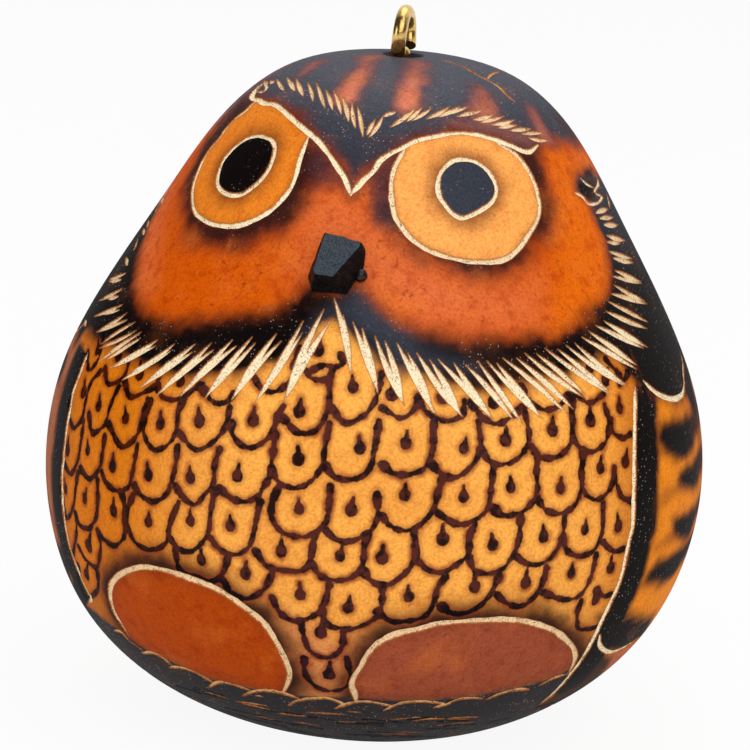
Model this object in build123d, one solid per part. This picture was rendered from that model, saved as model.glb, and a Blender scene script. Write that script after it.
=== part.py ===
from build123d import *
from math import asin, cos, degrees, radians, sin, sqrt
import os

# Carved gourd ornament in the shape of an owl, in millimetres.
# Z runs up the gourd's axis and zero is the middle of the spot that it stands on.
# The owl looks along -Y, and its left wing is on the +X side.

# The dried gourd: its outside, its wall and the thicker rind at its stem end
gourd_diameter = 70.0
gourd_height = 71.5
gourd_wall = 2.8
stem_thickness = 4.5

# The outline from the edge of the standing spot to the stem end,
# across as a share of the radius and up as a share of the height
outline_shares = [
    (0.26, 0.0),
    (0.60, 0.048),
    (0.86, 0.158),
    (0.98, 0.297),
    (1.0, 0.385),
    (0.965, 0.512),
    (0.865, 0.628),
    (0.68, 0.785),
    (0.50, 0.912),
    (0.34, 0.972),
    (0.17, 0.995),
    (0.0, 1.0),
]

# The brass screw eye: wire that drifts sideways as it is bent round to an eye,
# and a shank with a thread and a point. The eye's foot turns in a hollow of the stem end
wire_diameter = 1.5
eye_outer_diameter = 5.8
eye_drift = 1.05
eye_sink = 0.65
eye_clearance = 0.3
eye_turn = 5.5
wire_end_gap = 0.2
shank_length = 9.0
plain_length = 1.5
thread_pitch = 0.7
thread_depth = 0.2
point_length = 1.8
point_flat_share = 0.15
thread_foot_share = 0.6
thread_sink_share = 0.25
screw_clearance = 0.05

# The beak: a chip of wood cut with flat strokes of a knife, on its own seat plane
beak_width = 5.6
beak_height = 6.6
beak_depth = 4.2
beak_level = 53.4

# Three points on each cut face, across, up and out of the seat plane,
# as shares of the beak's width, height and depth
beak_cut_shares = {
    "crown": [(-0.33, 0.48, 0.20), (0.40, 0.38, 0.16), (0.10, -0.36, 0.92)],
    "left cheek": [(-0.34, 0.50, 0.0), (-0.49, -0.20, 0.0), (-0.28, -0.24, 0.80)],
    "left foot": [(-0.49, -0.20, 0.0), (-0.38, -0.44, 0.0), (-0.28, -0.30, 0.80)],
    "underside": [(-0.38, -0.44, 0.0), (0.27, -0.43, 0.0), (0.10, -0.38, 0.92)],
    "right foot": [(0.27, -0.43, 0.0), (0.49, 0.0, 0.0), (0.12, -0.36, 0.92)],
    "right cheek": [(0.49, 0.0, 0.0), (0.48, 0.26, 0.0), (0.24, -0.06, 0.60)],
    "right brow": [(0.48, 0.26, 0.0), (0.40, 0.40, 0.0), (0.41, 0.30, 0.16)],
    "top": [(0.40, 0.40, 0.0), (-0.34, 0.50, 0.0), (-0.33, 0.48, 0.20)],
}

# The glue under the beak: a bed out to near the chip's edge and a bead squeezed out at one side
glue_gap = 0.15
glue_bed_width = 4.6
glue_bed_height = 5.2
glue_bead_diameter = 1.4
glue_bead_across_share = 0.45
glue_bead_up_share = -0.10

# Seeds left in the uncut gourd, lying on the cavity's floor
seed_length = 9.0
seed_width = 4.6
seed_thickness = 1.6
seed_tip_width = 1.6
seed_edge_share = 0.3
seed_lift = 0.4
seed_ring_radius = 9.2
seed_ring_count = 5
seed_ring_start = 20.0
seed_slant = 12.0

# Room for cutting tools to pass beyond what they cut
overrun = 5.0

# Sizes that follow from the ones above
gourd_radius = gourd_diameter / 2
wire_radius = wire_diameter / 2
eye_radius = (eye_outer_diameter - wire_diameter) / 2
eye_centre = gourd_height - eye_sink + eye_outer_diameter / 2
eye_bottom = eye_centre - eye_radius
hollow_radius = eye_outer_diameter / 2 + eye_clearance
hollow_floor = eye_centre - hollow_radius
thread_root_radius = wire_radius - thread_depth


def round_body(radius, height, foot):
    """A body turned from the gourd's outline, standing at the height of its foot."""
    points = [(radius * across, foot + height * up) for across, up in outline_shares]
    side = Spline(*points)
    closing = Polyline(points[-1], (0, foot), points[0])
    return revolve(Plane.XZ * make_face([side, closing]), Axis.Z)


def gourd_outside():
    return round_body(gourd_radius, gourd_height, 0)


def gourd_cavity():
    inside_height = gourd_height - gourd_wall - stem_thickness
    return round_body(gourd_radius - gourd_wall, inside_height, gourd_wall)


def last_hit(body, line):
    """Where a straight line last meets the body, with the surface's outward normal there."""
    hits = [hit for face in body.faces() for hit in face.find_intersection_points(line)]
    return max(hits, key=lambda hit: (hit[0] - line.position).dot(line.direction))


def beak_seat():
    """The plane of the beak's back, touching the glue on the owl's face. Its Y runs up the face."""
    point, normal = last_hit(gourd_outside(), Axis((0, 0, beak_level), (0, -1, 0)))
    return Plane(origin=point + normal * glue_gap, x_dir=(1, 0, 0), z_dir=normal)


def gourd_shell():
    bore = Cylinder(wire_radius + screw_clearance, stem_thickness + 2 * overrun)
    hollow = Sphere(hollow_radius)
    shell = gourd_outside() - gourd_cavity() - Pos(0, 0, gourd_height - stem_thickness / 2) * bore
    return shell - Pos(0, 0, eye_centre) * hollow


def screw_thread(top, length):
    """One ridge wound round the shank, deep enough at its foot to join the core."""
    foot = thread_pitch * thread_foot_share / 2
    sunk_radius = thread_root_radius - thread_depth * thread_sink_share
    path = Pos(0, 0, top - length) * Helix(thread_pitch, length, thread_root_radius)
    ridge = Polyline(
        (sunk_radius, -foot),
        (wire_radius, 0),
        (sunk_radius, foot),
        close=True,
    )
    start = Location((0, 0, top - length))
    return sweep(start * (Plane.XZ * make_face(ridge)), path=path, is_frenet=True)


def eye_wire():
    """The eye's wire, from beside the shank's top, up the owl's front and down behind."""
    chord = sqrt((wire_diameter + wire_end_gap) ** 2 - (eye_drift / 2) ** 2)
    bend = degrees(2 * asin(chord / 2 / eye_radius))
    travel = eye_drift * (1 - bend / 360)
    start = Plane(origin=(-eye_drift / 2, 0, eye_centre), x_dir=(0, 0, -1), z_dir=(1, 0, 0))
    loop = start * Helix(eye_drift, travel, eye_radius, lefthand=True)
    wire = sweep(Plane(origin=loop @ 0, z_dir=loop % 0) * Circle(wire_radius), path=loop)
    neck = Rot(0, 90, 0) * Cylinder(wire_radius, eye_drift / 2)
    neck = Pos(-eye_drift / 4, 0, eye_bottom) * neck
    elbow = Sphere(wire_radius)
    return wire + neck + Pos(0, 0, eye_bottom) * elbow + Pos(-eye_drift / 2, 0, eye_bottom) * elbow


def screw_eye():
    shank_end = eye_bottom - shank_length
    plain_end = hollow_floor - plain_length
    shank = Plane.XZ * make_face(
        Polyline(
            (0, eye_bottom),
            (wire_radius, eye_bottom),
            (wire_radius, plain_end),
            (thread_root_radius, plain_end - thread_depth),
            (thread_root_radius, shank_end + point_length),
            (thread_root_radius * point_flat_share, shank_end),
            (0, shank_end),
            close=True,
        )
    )
    thread_top = plain_end - thread_pitch / 2
    thread_length = thread_top - shank_end - point_length
    whole = eye_wire() + revolve(shank, Axis.Z) + screw_thread(thread_top, thread_length)
    return Rot(0, 0, eye_turn) * whole


def beak_chip():
    """The chip on its seat plane: a block with one flat cut for each named face."""
    size = Vector(beak_width, beak_height, beak_depth)
    chip = Box(beak_width, beak_height, beak_depth, align=(Align.CENTER, Align.CENTER, Align.MIN))
    middle = Vector(0, 0, beak_depth / 4)
    for corners in beak_cut_shares.values():
        a, b, c = [Vector(size.X * x, size.Y * y, size.Z * z) for x, y, z in corners]
        normal = (b - a).cross(c - a)
        if normal.dot(middle - a) > 0:
            normal = -normal
        chip = split(chip, bisect_by=Plane(origin=a, z_dir=normal), keep=Keep.BOTTOM)
    return chip


def beak():
    return beak_seat() * beak_chip()


def beak_glue():
    bed_depth = gourd_wall / 2
    bed = extrude(Ellipse(glue_bed_width / 2, glue_bed_height / 2), amount=-bed_depth)
    bead_place = Pos(beak_width * glue_bead_across_share, beak_height * glue_bead_up_share, 0)
    bead = bead_place * Sphere(glue_bead_diameter / 2)
    return beak_seat() * (bed + bead) - gourd_outside() - beak()


def seed():
    """A flat seed, broad at one end and narrow at the other, with rounded edges."""
    broad = seed_width / 2
    narrow = seed_tip_width / 2
    reach = seed_length - broad - narrow
    ends = Pos(-reach / 2, 0) * Circle(broad) + Pos(reach / 2, 0) * Circle(narrow)
    body = extrude(make_hull(ends.edges()), amount=seed_thickness)
    return fillet(body.edges(), seed_thickness * seed_edge_share)


def dried_seeds():
    """One seed in the middle of the cavity's floor and a ring of them round it."""
    waist = Plane.XY.offset(gourd_height / 2)
    floor = split(gourd_cavity(), bisect_by=waist, keep=Keep.BOTTOM)
    spots = [(0, 0, seed_slant)]
    for n in range(seed_ring_count):
        bearing = seed_ring_start + 360 / seed_ring_count * n
        across = seed_ring_radius * cos(radians(bearing))
        along = seed_ring_radius * sin(radians(bearing))
        slant = bearing + 90 + seed_slant * (-1) ** n
        spots.append((across, along, slant))
    seeds = []
    for across, along, slant in spots:
        point, normal = last_hit(floor, Axis((across, along, gourd_height), (0, 0, -1)))
        seat = Plane(origin=point - normal * seed_lift, x_dir=(1, 0, 0), z_dir=-normal)
        seeds.append(seat * Rot(0, 0, slant) * seed())
    return Compound(children=seeds)


os.makedirs("parts", exist_ok=True)
pieces = {
    "gourd_shell": gourd_shell,
    "screw_eye": screw_eye,
    "beak": beak,
    "beak_glue": beak_glue,
    "dried_seeds": dried_seeds,
}
for name, make in pieces.items():
    shape = make()
    export_step(shape, f"parts/{name}.step")
    print(name, "solids", len(shape.solids()), "volume", round(shape.volume, 2))
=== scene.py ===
import math

import bmesh
import bpy
import numpy as np
from mathutils import Matrix, Vector, noise


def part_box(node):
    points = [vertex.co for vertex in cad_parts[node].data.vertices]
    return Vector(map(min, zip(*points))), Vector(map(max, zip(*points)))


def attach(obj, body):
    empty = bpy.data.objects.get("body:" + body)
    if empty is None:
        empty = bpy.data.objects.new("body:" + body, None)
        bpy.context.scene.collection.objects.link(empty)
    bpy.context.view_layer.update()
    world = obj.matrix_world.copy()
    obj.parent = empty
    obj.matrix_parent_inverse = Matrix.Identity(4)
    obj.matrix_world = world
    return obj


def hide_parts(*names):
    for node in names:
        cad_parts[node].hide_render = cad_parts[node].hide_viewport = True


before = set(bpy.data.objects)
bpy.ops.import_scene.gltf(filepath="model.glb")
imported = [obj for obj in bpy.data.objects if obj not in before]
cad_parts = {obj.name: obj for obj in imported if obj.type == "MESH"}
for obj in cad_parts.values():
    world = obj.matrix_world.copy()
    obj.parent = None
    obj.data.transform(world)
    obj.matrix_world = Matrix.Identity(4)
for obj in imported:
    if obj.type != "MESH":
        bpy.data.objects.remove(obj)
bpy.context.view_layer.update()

# Carved gourd owl. Sizes are millimetres, apart from the studio's, and bearings are degrees round from
# the owl's beak, towards its left wing; a rise is degrees up from the hub in the middle of the gourd.
mm = 0.001
dice = np.random.default_rng(41)

photoView = {
    "pixels": 750,            # width and height of the photo
    "middle": 375.0,
    "lensPixels": 3945.0,
    "lookHeight": 36.0,
    "distance": 420.0,
    "turn": 11.5,
    "lift": 13.0,
    "lean": 4.0,
    "nudge": (-0.51, 0.94),   # right and up
    "clipStart": 10.0,
    "search": (-50, 30, 161),    # nearest, farthest and number of the places where skin is looked for
    "halvings": 24,
}


def viewAxes():
    turn, lift, lean = [math.radians(photoView[key]) for key in ("turn", "lift", "lean")]
    ahead = Vector((-math.sin(turn) * math.cos(lift), math.cos(turn) * math.cos(lift), -math.sin(lift)))
    level = Vector((math.cos(turn), math.sin(turn), 0.0))
    upright = level.cross(ahead)
    right = level * math.cos(lean) + upright * math.sin(lean)
    up = upright * math.cos(lean) - level * math.sin(lean)
    nudge = photoView["nudge"]
    place = Vector((0, 0, photoView["lookHeight"])) - ahead * photoView["distance"]
    return place + right * nudge[0] + up * nudge[1], right, up, ahead


viewPlace, viewRight, viewUp, viewAhead = [np.array(v) for v in viewAxes()]


def addObject(name, data):
    made = bpy.data.objects.new(name, data)
    bpy.context.scene.collection.objects.link(made)
    return made


def meshFrom(work, name):
    mesh = bpy.data.meshes.new(name)
    work.to_mesh(mesh)
    work.free()
    return mesh


def addCamera():
    lens = bpy.data.cameras.new("photoCamera")
    lens.lens = photoView["lensPixels"] / photoView["pixels"] * lens.sensor_width
    lens.clip_start = photoView["clipStart"] * mm
    camera = addObject("photoCamera", lens)
    turned = Matrix((viewRight, viewUp, -viewAhead)).transposed().to_4x4()
    camera.matrix_world = Matrix.Translation(Vector(viewPlace) * mm) @ turned
    bpy.context.scene.camera = camera


addCamera()
print("camera set")


gourd = {
    "radius": 35.0,
    "height": 71.5,
    "wall": 2.8,
    "stemThickness": 4.5,
    "outline": [
        (0.26, 0.0), (0.6, 0.048), (0.86, 0.158), (0.98, 0.297), (1.0, 0.385), (0.965, 0.512), (0.865, 0.628),
        (0.68, 0.785), (0.5, 0.912), (0.34, 0.972), (0.17, 0.995), (0.0, 1.0),
    ],
    "hubHeight": 33.0,        # the point that rises are measured from
    # The real gourd is a little lopsided: bearing, rise, height and spread in degrees of each swell
    "swells": [(-78, 38, -0.42, 34), (-78, -42, 0.5, 26), (101, -50, -0.5, 26), (100, 66, 0.25, 15)],
    "hollowCentre": 73.75,
    "hollowRadius": 3.2,
    "hollowSteps": 7,
    "boreRadius": 0.8,
    "paleDepth": 0.30,
    "paleSlope": 0.22,
    "burntDepth": 0.09,
    "burntSlope": 0.3,
    "dents": 0.05,
    # Bearings where one segment of the skin ends and the next starts
    "segments": [("gourdRight", -90, -3), ("gourdLeft", -3, 75), ("gourdRearLeft", 75, 171),
                 ("gourdRearRight", 171, 270)],
}

# How finely the skin is made
meshing = {
    "outlineSteps": 3000,
    "floorSteps": 200,
    "cavitySteps": 600,
    "turns": 240,
    "outsideRow": 0.92,
    "insideRow": 5.0,
    "floorRings": [(0, 0), (3, 0), (6, 0)],
    "cavityRing": 4.0,
    "blotHalf": 1.2,
    "drawnReach": 1.6,        # distances to a line are measured this far
    "farAway": 9.0,
    "levels": (0.75, 0.26, 0.10),
    "deepInside": -0.45,      # a face this far inside a line stays as it is at the two fine levels
    "tooFar": 3,
}


def runAlong(lengths):
    return np.concatenate([[0], np.cumsum(lengths)])


def smoothOutline(radius, height, count):
    # A spline through the outline that follows the CAD's, as (across, up)
    spots = np.array(gourd["outline"]) * (radius, height)
    run = runAlong(np.hypot(*np.diff(spots, axis=0).T))
    gap = np.diff(run)
    rate = np.diff(spots, axis=0) / gap[:, None]
    last = len(run) - 1
    system = np.zeros((last + 1, last + 1))
    known = np.zeros((last + 1, 2))
    for end, near in ((0, slice(0, 4)), (last, slice(last - 3, last + 1))):
        system[end, end] = 1
        for side in (0, 1):
            cubic = np.polyfit(run[near] - run[end], spots[near, side], 3)
            known[end, side] = cubic[2]
    for i in range(1, last):
        system[i, i - 1:i + 2] = gap[i], 2 * (gap[i] + gap[i - 1]), gap[i - 1]
        known[i] = 3 * (gap[i] * rate[i - 1] + gap[i - 1] * rate[i])
    slope = np.linalg.solve(system, known)
    return hermite(run, spots, slope, np.linspace(0, run[-1], count))


def hermite(run, spots, slope, at):
    i = np.clip(np.searchsorted(run, at, side="right") - 1, 0, len(run) - 2)
    gap = (run[i + 1] - run[i])[:, None]
    t = (at[:, None] - run[i][:, None]) / gap
    start = spots[i] * (2 * t**3 - 3 * t**2 + 1) + slope[i] * gap * (t**3 - 2 * t**2 + t)
    return start + spots[i + 1] * (3 * t**2 - 2 * t**3) + slope[i + 1] * gap * (t**3 - t**2)


def smoothRun(points, step):
    # A smooth line through given points, with a point every step
    points = np.array(points, float)
    run = runAlong(np.linalg.norm(np.diff(points, axis=0), axis=1))
    if len(points) > 2:
        slope = np.gradient(points, run, axis=0)
    else:
        slope = np.repeat(np.diff(points, axis=0) / run[-1], 2, axis=0)
    return hermite(run, points, slope, np.linspace(0, run[-1], max(3, int(run[-1] / step) + 1)))


hub = np.array([0, 0, gourd["hubHeight"]])
fineOutline = smoothOutline(gourd["radius"], gourd["height"], meshing["outlineSteps"])
floorLine = np.linspace((0.001, 0), fineOutline[0], meshing["floorSteps"], endpoint=False)
fullOutline = np.vstack([floorLine, fineOutline])
outlineRise = np.arctan2(fullOutline[:, 1] - hub[2], fullOutline[:, 0])
outlineReach = np.hypot(fullOutline[:, 1] - hub[2], fullOutline[:, 0])


def roundReach(spots):
    # How far the turned outline is from the hub, in the direction of each spot
    rise = np.arctan2(spots[:, 2] - hub[2], np.hypot(spots[:, 0], spots[:, 1]))
    return np.interp(rise, outlineRise, outlineReach)


def aimOf(bearing, rise):
    turn, lift = np.radians(bearing), np.radians(rise)
    return np.stack([np.sin(turn) * np.cos(lift), -np.cos(turn) * np.cos(lift), np.sin(lift)], axis=-1)


def skinReach(spots):
    aim = (spots - hub) / np.linalg.norm(spots - hub, axis=1)[:, None]
    reach = roundReach(spots)
    for bearing, rise, height, spread in gourd["swells"]:
        away = np.degrees(np.arccos(np.clip(aim @ aimOf(bearing, rise), -1, 1)))
        reach = reach + height * np.exp(-((away / spread) ** 2))
    return reach


def ontoSkin(spots):
    aim = spots - hub
    return hub + aim * (skinReach(spots) / np.linalg.norm(aim, axis=1))[:, None]


def onSkin(pixels):
    # Where the photo's pixels lie on the skin; one just past the edge goes to the nearest skin
    pixels = np.atleast_2d(np.array(pixels, float))
    aim = np.outer(np.full(len(pixels), photoView["lensPixels"]), viewAhead)
    aim += np.outer(pixels[:, 0] - photoView["middle"], viewRight)
    aim += np.outer(photoView["middle"] - pixels[:, 1], viewUp)
    aim /= np.linalg.norm(aim, axis=1)[:, None]

    def gap(far):
        spots = viewPlace + aim * far[:, None]
        return np.linalg.norm(spots - hub, axis=1) - skinReach(spots)

    marks = photoView["distance"] + np.linspace(*photoView["search"])
    gaps = np.array([gap(np.full(len(pixels), far)) for far in marks])
    met = (gaps < 0).any(axis=0)
    first = np.where(met, (gaps < 0).argmax(axis=0), np.abs(gaps).argmin(axis=0))
    low, high = marks[np.maximum(first - 1, 0)], marks[first]
    for _ in range(photoView["halvings"]):
        half = (low + high) / 2
        inside = gap(half) < 0
        high = np.where(inside, half, high)
        low = np.where(inside, low, half)
    far = np.where(met, high, marks[first])
    return ontoSkin(viewPlace + aim * far[:, None])


def skinPoints(places):
    # Spots from (bearing, rise), for the sides and the back
    places = np.atleast_2d(np.array(places, float))
    return ontoSkin(hub + aimOf(places[:, 0], places[:, 1]))


def skinLine(pixels, step):
    return onSkin(smoothRun(pixels, step))


def rearLine(places, step):
    return skinPoints(smoothRun(places, step))


def closed(outline):
    return outline + outline[:1]


def bearingRise(spots):
    bearing = np.degrees(np.arctan2(spots[:, 0], -spots[:, 1]))
    rise = np.degrees(np.arctan2(spots[:, 2] - hub[2], np.hypot(spots[:, 0], spots[:, 1])))
    return bearing, rise


def mirrored(spots):
    return spots * (-1, 1, 1)


cuts = []      # the knife's pale grooves: (spots, half widths, how toasted the bottom is)
burns = []     # the hot point's lines and dots, in the same form

knife = {
    "unevenness": 0.11,
    "mostUneven": 0.45,
    "endShare": 0.25,         # of the width, at a line's pointed end
    "endSteps": 3,
    "toast": 0.2,
    "sliverPoints": 9,
    "fullest": 0.55,          # how far down a flick is broadest
    "thinnest": 0.01,
}

hotPoint = {
    "unevenness": 0.13,
    "limits": (-0.35, 0.5),
    "beadHeight": 0.17,
    "beadTurns": (0.35, 0.9),
    "footShare": 0.80,
    "sideShare": 0.36,
    "dropLean": (-1.5, 2.5),
    "dropPixels": [(1, -12), (0.5, -5.5)],    # share of the lean and height of the tail's points
    "dropFoot": (-0.5, 1),
    "dropHalves": [0.17, 0.29, 0.60, 0.60],
}


def uneven(count, amount, stretch=5):
    raw = dice.normal(0, 1, count + 2 * stretch)
    return amount * np.convolve(raw, np.ones(stretch) / math.sqrt(stretch), "same")[stretch:stretch + count]


def cutLine(spots, width, unevenness=knife["unevenness"], pointed=True, toast=knife["toast"]):
    half = np.full(len(spots), width / 2)
    half *= 1 + np.clip(uneven(len(spots), unevenness), -knife["mostUneven"], knife["mostUneven"])
    if pointed:
        ends = np.minimum(np.arange(len(spots)), np.arange(len(spots))[::-1])
        half *= np.clip(knife["endShare"] + ends / knife["endSteps"], 0, 1)
    cuts.append((spots, half, toast))


def cutSliver(top, tip, width, bow, toast):
    # One flick of the gouge, from a fine start to a fine end
    top, tip = np.array(top, float), np.array(tip, float)
    share = np.linspace(0, 1, knife["sliverPoints"])[:, None]
    side = np.array([-(tip - top)[1], (tip - top)[0]])
    spots = onSkin(top + (tip - top) * share + side * bow * np.sin(share * math.pi))
    fullest = knife["fullest"]
    bulge = np.where(share < fullest, share / fullest, (1 - share) / (1 - fullest))[:, 0]
    cuts.append((spots, width / 2 * np.sin(bulge * math.pi / 2) - knife["thinnest"], toast))


def burnLine(spots, width):
    # A row of touches of the hot point, heavier down the sides than round the foot
    share = np.linspace(-1, 1, len(spots))
    beads = hotPoint["beadHeight"] * np.sin(np.cumsum(dice.uniform(*hotPoint["beadTurns"], len(spots))))
    half = width / 2 * (hotPoint["footShare"] + hotPoint["sideShare"] * share**2)
    wander = np.clip(uneven(len(spots), hotPoint["unevenness"], stretch=3), *hotPoint["limits"])
    burns.append((spots, half * (1 + beads + wander), 0.0))


def burnDrop(x, y, size):
    # A drop from the hot point: a round foot and a short tail up
    lean = dice.uniform(*hotPoint["dropLean"])
    tail = [(x + lean * share, y + up * size) for share, up in hotPoint["dropPixels"]]
    spots = onSkin(tail + [(x, y + up) for up in hotPoint["dropFoot"]])
    burns.append((spots, np.array(hotPoint["dropHalves"]) * size, 0.0))


face = {
    # Which lines, the step between their points, and how they are cut
    "cutting": [
        (("leftBrow", "rightBrow"), 3.5, {"width": 0.46, "unevenness": 0.15, "toast": 0.15}),
        (("leftRing",), 3.5, {"width": 0.43, "unevenness": 0.15, "toast": 0.15}),
        (("rightRing",), 3.5, {"width": 0.43, "unevenness": 0.15, "toast": 0.35}),
        (("browHook",), 2.0, {"width": 0.60}),
        (("browCurl",), 2.0, {"width": 0.42}),
        (("leftPupil", "rightPupil"), 3.5, {"width": 0.40, "pointed": False}),
        (("markRim", "markLoop", "markStem"), 3.0, {"width": 0.40, "unevenness": 0.3, "toast": 0.3}),
        (("crownCrack", "crackBranch"), 3.0, {"width": 0.30, "unevenness": 0.3, "toast": 1.0}),
    ],
    "browHook": [(264, 82), (257, 87), (252.5, 92), (251.5, 96), (254, 99)],
    "browCurl": [(264, 83), (266.5, 86.5), (264, 90.5), (258, 91)],
    "leftBrow": [
        (262, 84), (255, 92), (252, 98), (258, 99), (262, 101.8), (274, 103.5), (285, 111.7), (296, 121.7),
        (307, 131), (318, 140.4), (327, 151.5), (336, 164.7), (344.8, 178.5), (350.8, 194.5),
    ],
    "rightBrow": [
        (350.8, 193.4), (356.2, 187.7), (363.5, 179.4), (373.9, 170), (380, 160.3), (387, 155), (394, 151),
        (401, 148), (409, 143.4), (418.6, 139.3), (429, 136.9), (438, 135.2), (450, 132.9), (461.8, 132.3),
        (473.5, 133.4), (485, 135.8), (497, 139.3), (506, 142.8), (514.4, 146.3), (520, 149.2), (526, 151),
        (530.8, 151), (534.3, 148), (538.4, 144.5),
    ],
    "leftRing": [
        (259, 98.6), (251, 104), (245, 110.4), (236, 117), (230, 122.7), (224, 130), (219, 137.5),
        (212.8, 144.3), (209, 149), (204, 157), (200.5, 164), (197.4, 171.4), (195, 177.6), (193, 183.8),
        (191.8, 191), (191.6, 198.6), (192.8, 207), (195.5, 213.4), (201.7, 218.3), (209, 222.6), (219, 225),
        (229, 225.7), (238.7, 225), (247, 222.6), (254.7, 219), (263.4, 214.6), (270.8, 209.7), (278, 203),
        (284.4, 196), (290.5, 187.5), (294.2, 178.8), (297.3, 169), (299.2, 160.3), (301.6, 153),
        (304.7, 145.5), (307.2, 138), (309, 134.4),
    ],
    "leftPupil": [
        (258.4, 135), (251, 136.3), (243.6, 140), (237.5, 144.3), (231.3, 149.8), (226.4, 155.4),
        (221.4, 162.8), (219, 170), (217, 177.6), (217, 183.8), (219.6, 188.7), (225, 193), (231.3, 194.9),
        (237.5, 194.9), (245, 192.4), (251, 188), (257, 183), (263.4, 176.4), (268.3, 169), (272, 160.3),
        (274, 153), (274.5, 145.5), (272, 140), (266, 137),
    ],
    "rightRing": [
        (405, 148.6), (401, 155), (396.4, 163), (393, 172.6), (391.3, 182), (391.3, 191), (391.7, 199.5),
        (393, 206.5), (395, 216), (400, 224), (405.7, 232), (414, 240.4), (423, 246.8), (432.6, 251.5),
        (443, 255), (455, 258.5), (466.5, 260.8), (479, 261.7), (491, 261.7), (502.7, 259.7), (512, 255),
        (520, 247.4), (526, 239), (532, 230), (537, 221.7), (539.5, 213.5), (540, 204), (538.4, 195),
        (536, 185.5), (532, 176), (527, 167), (520, 157.4), (513, 151), (506, 147), (497, 142),
    ],
    "rightPupil": [
        (461.8, 158.6), (455, 159.2), (449, 162.7), (443.7, 168), (439.6, 175), (438, 182), (438, 189),
        (439.6, 196), (444.3, 203), (449.5, 209.8), (455, 214.6), (462.4, 217.6), (470, 215.4), (478, 211.6),
        (484, 208), (491, 203), (495.7, 196), (497, 189), (495, 181), (491, 174), (485, 167), (479, 163),
        (471, 159.7),
    ],
    "markRim": [(606.6, 193), (609, 200), (610, 207.5)],
    "markLoop": [
        (596, 174), (599, 183), (595, 192), (602.7, 196.5), (599, 202), (589, 203), (583, 196), (575.5, 192),
    ],
    "markStem": [(581, 178), (587, 183.5), (593.6, 187)],
    "crownCrack": [
        (442, 59.3), (456, 63.7), (466, 67.6), (477, 74.2), (489, 80.3), (501.5, 88.6), (507, 94.6),
        (514.7, 101.3),
    ],
    "crackBranch": [(487, 79), (492.6, 73), (499.3, 71)],
}

# Flicks of the gouge, upper end then lower end. Each group has its share of the width, and its toast
browFlicks = {
    "width": 0.40,
    "widthShares": (0.85, 1.2),
    "bows": (-0.05, 0.05),
    "groups": {"left": (1.0, 0.5), "right": (1.0, 0.5)},
    "left": [
        ((263.7, 80.3), (267, 84)), ((270.3, 80), (273.4, 82.5)), ((276.4, 78.6), (284, 90)),
        ((286.8, 77), (294.8, 90.5)), ((296.2, 78), (303.4, 95.7)), ((307.8, 82), (312.8, 100.7)),
        ((316.6, 82.5), (325, 107.3)), ((325.8, 89), (332.6, 109.5)), ((333.7, 90), (341.2, 113.7)),
        ((342.4, 96.3), (348.6, 121)), ((352, 102.4), (355.6, 127.7)), ((357.5, 105.7), (363, 136)),
    ],
    "right": [
        ((375, 119), (366.9, 134.4)), ((397, 111), (383, 116)), ((383, 116), (368.9, 136.6)),
        ((416.5, 106.8), (390, 126.6)), ((422, 107.3), (406.6, 121.1)), ((432, 107.3), (412, 120)),
        ((450, 105.7), (425.9, 118.4)), ((460, 106.2), (437.5, 116.2)), ((468.4, 106.2), (446.3, 114)),
        ((483.3, 109.3), (456.8, 116)), ((493.8, 113.7), (473.3, 119.2)), ((504.2, 115.6), (480, 122)),
        ((514.7, 119.2), (491, 123.9)), ((517, 124.4), (498.7, 127.4)), ((530.7, 128.3), (510.3, 130)),
        ((543.4, 132.7), (521.3, 133.3)), ((549, 139.9), (528.5, 137)),
    ],
}

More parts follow.
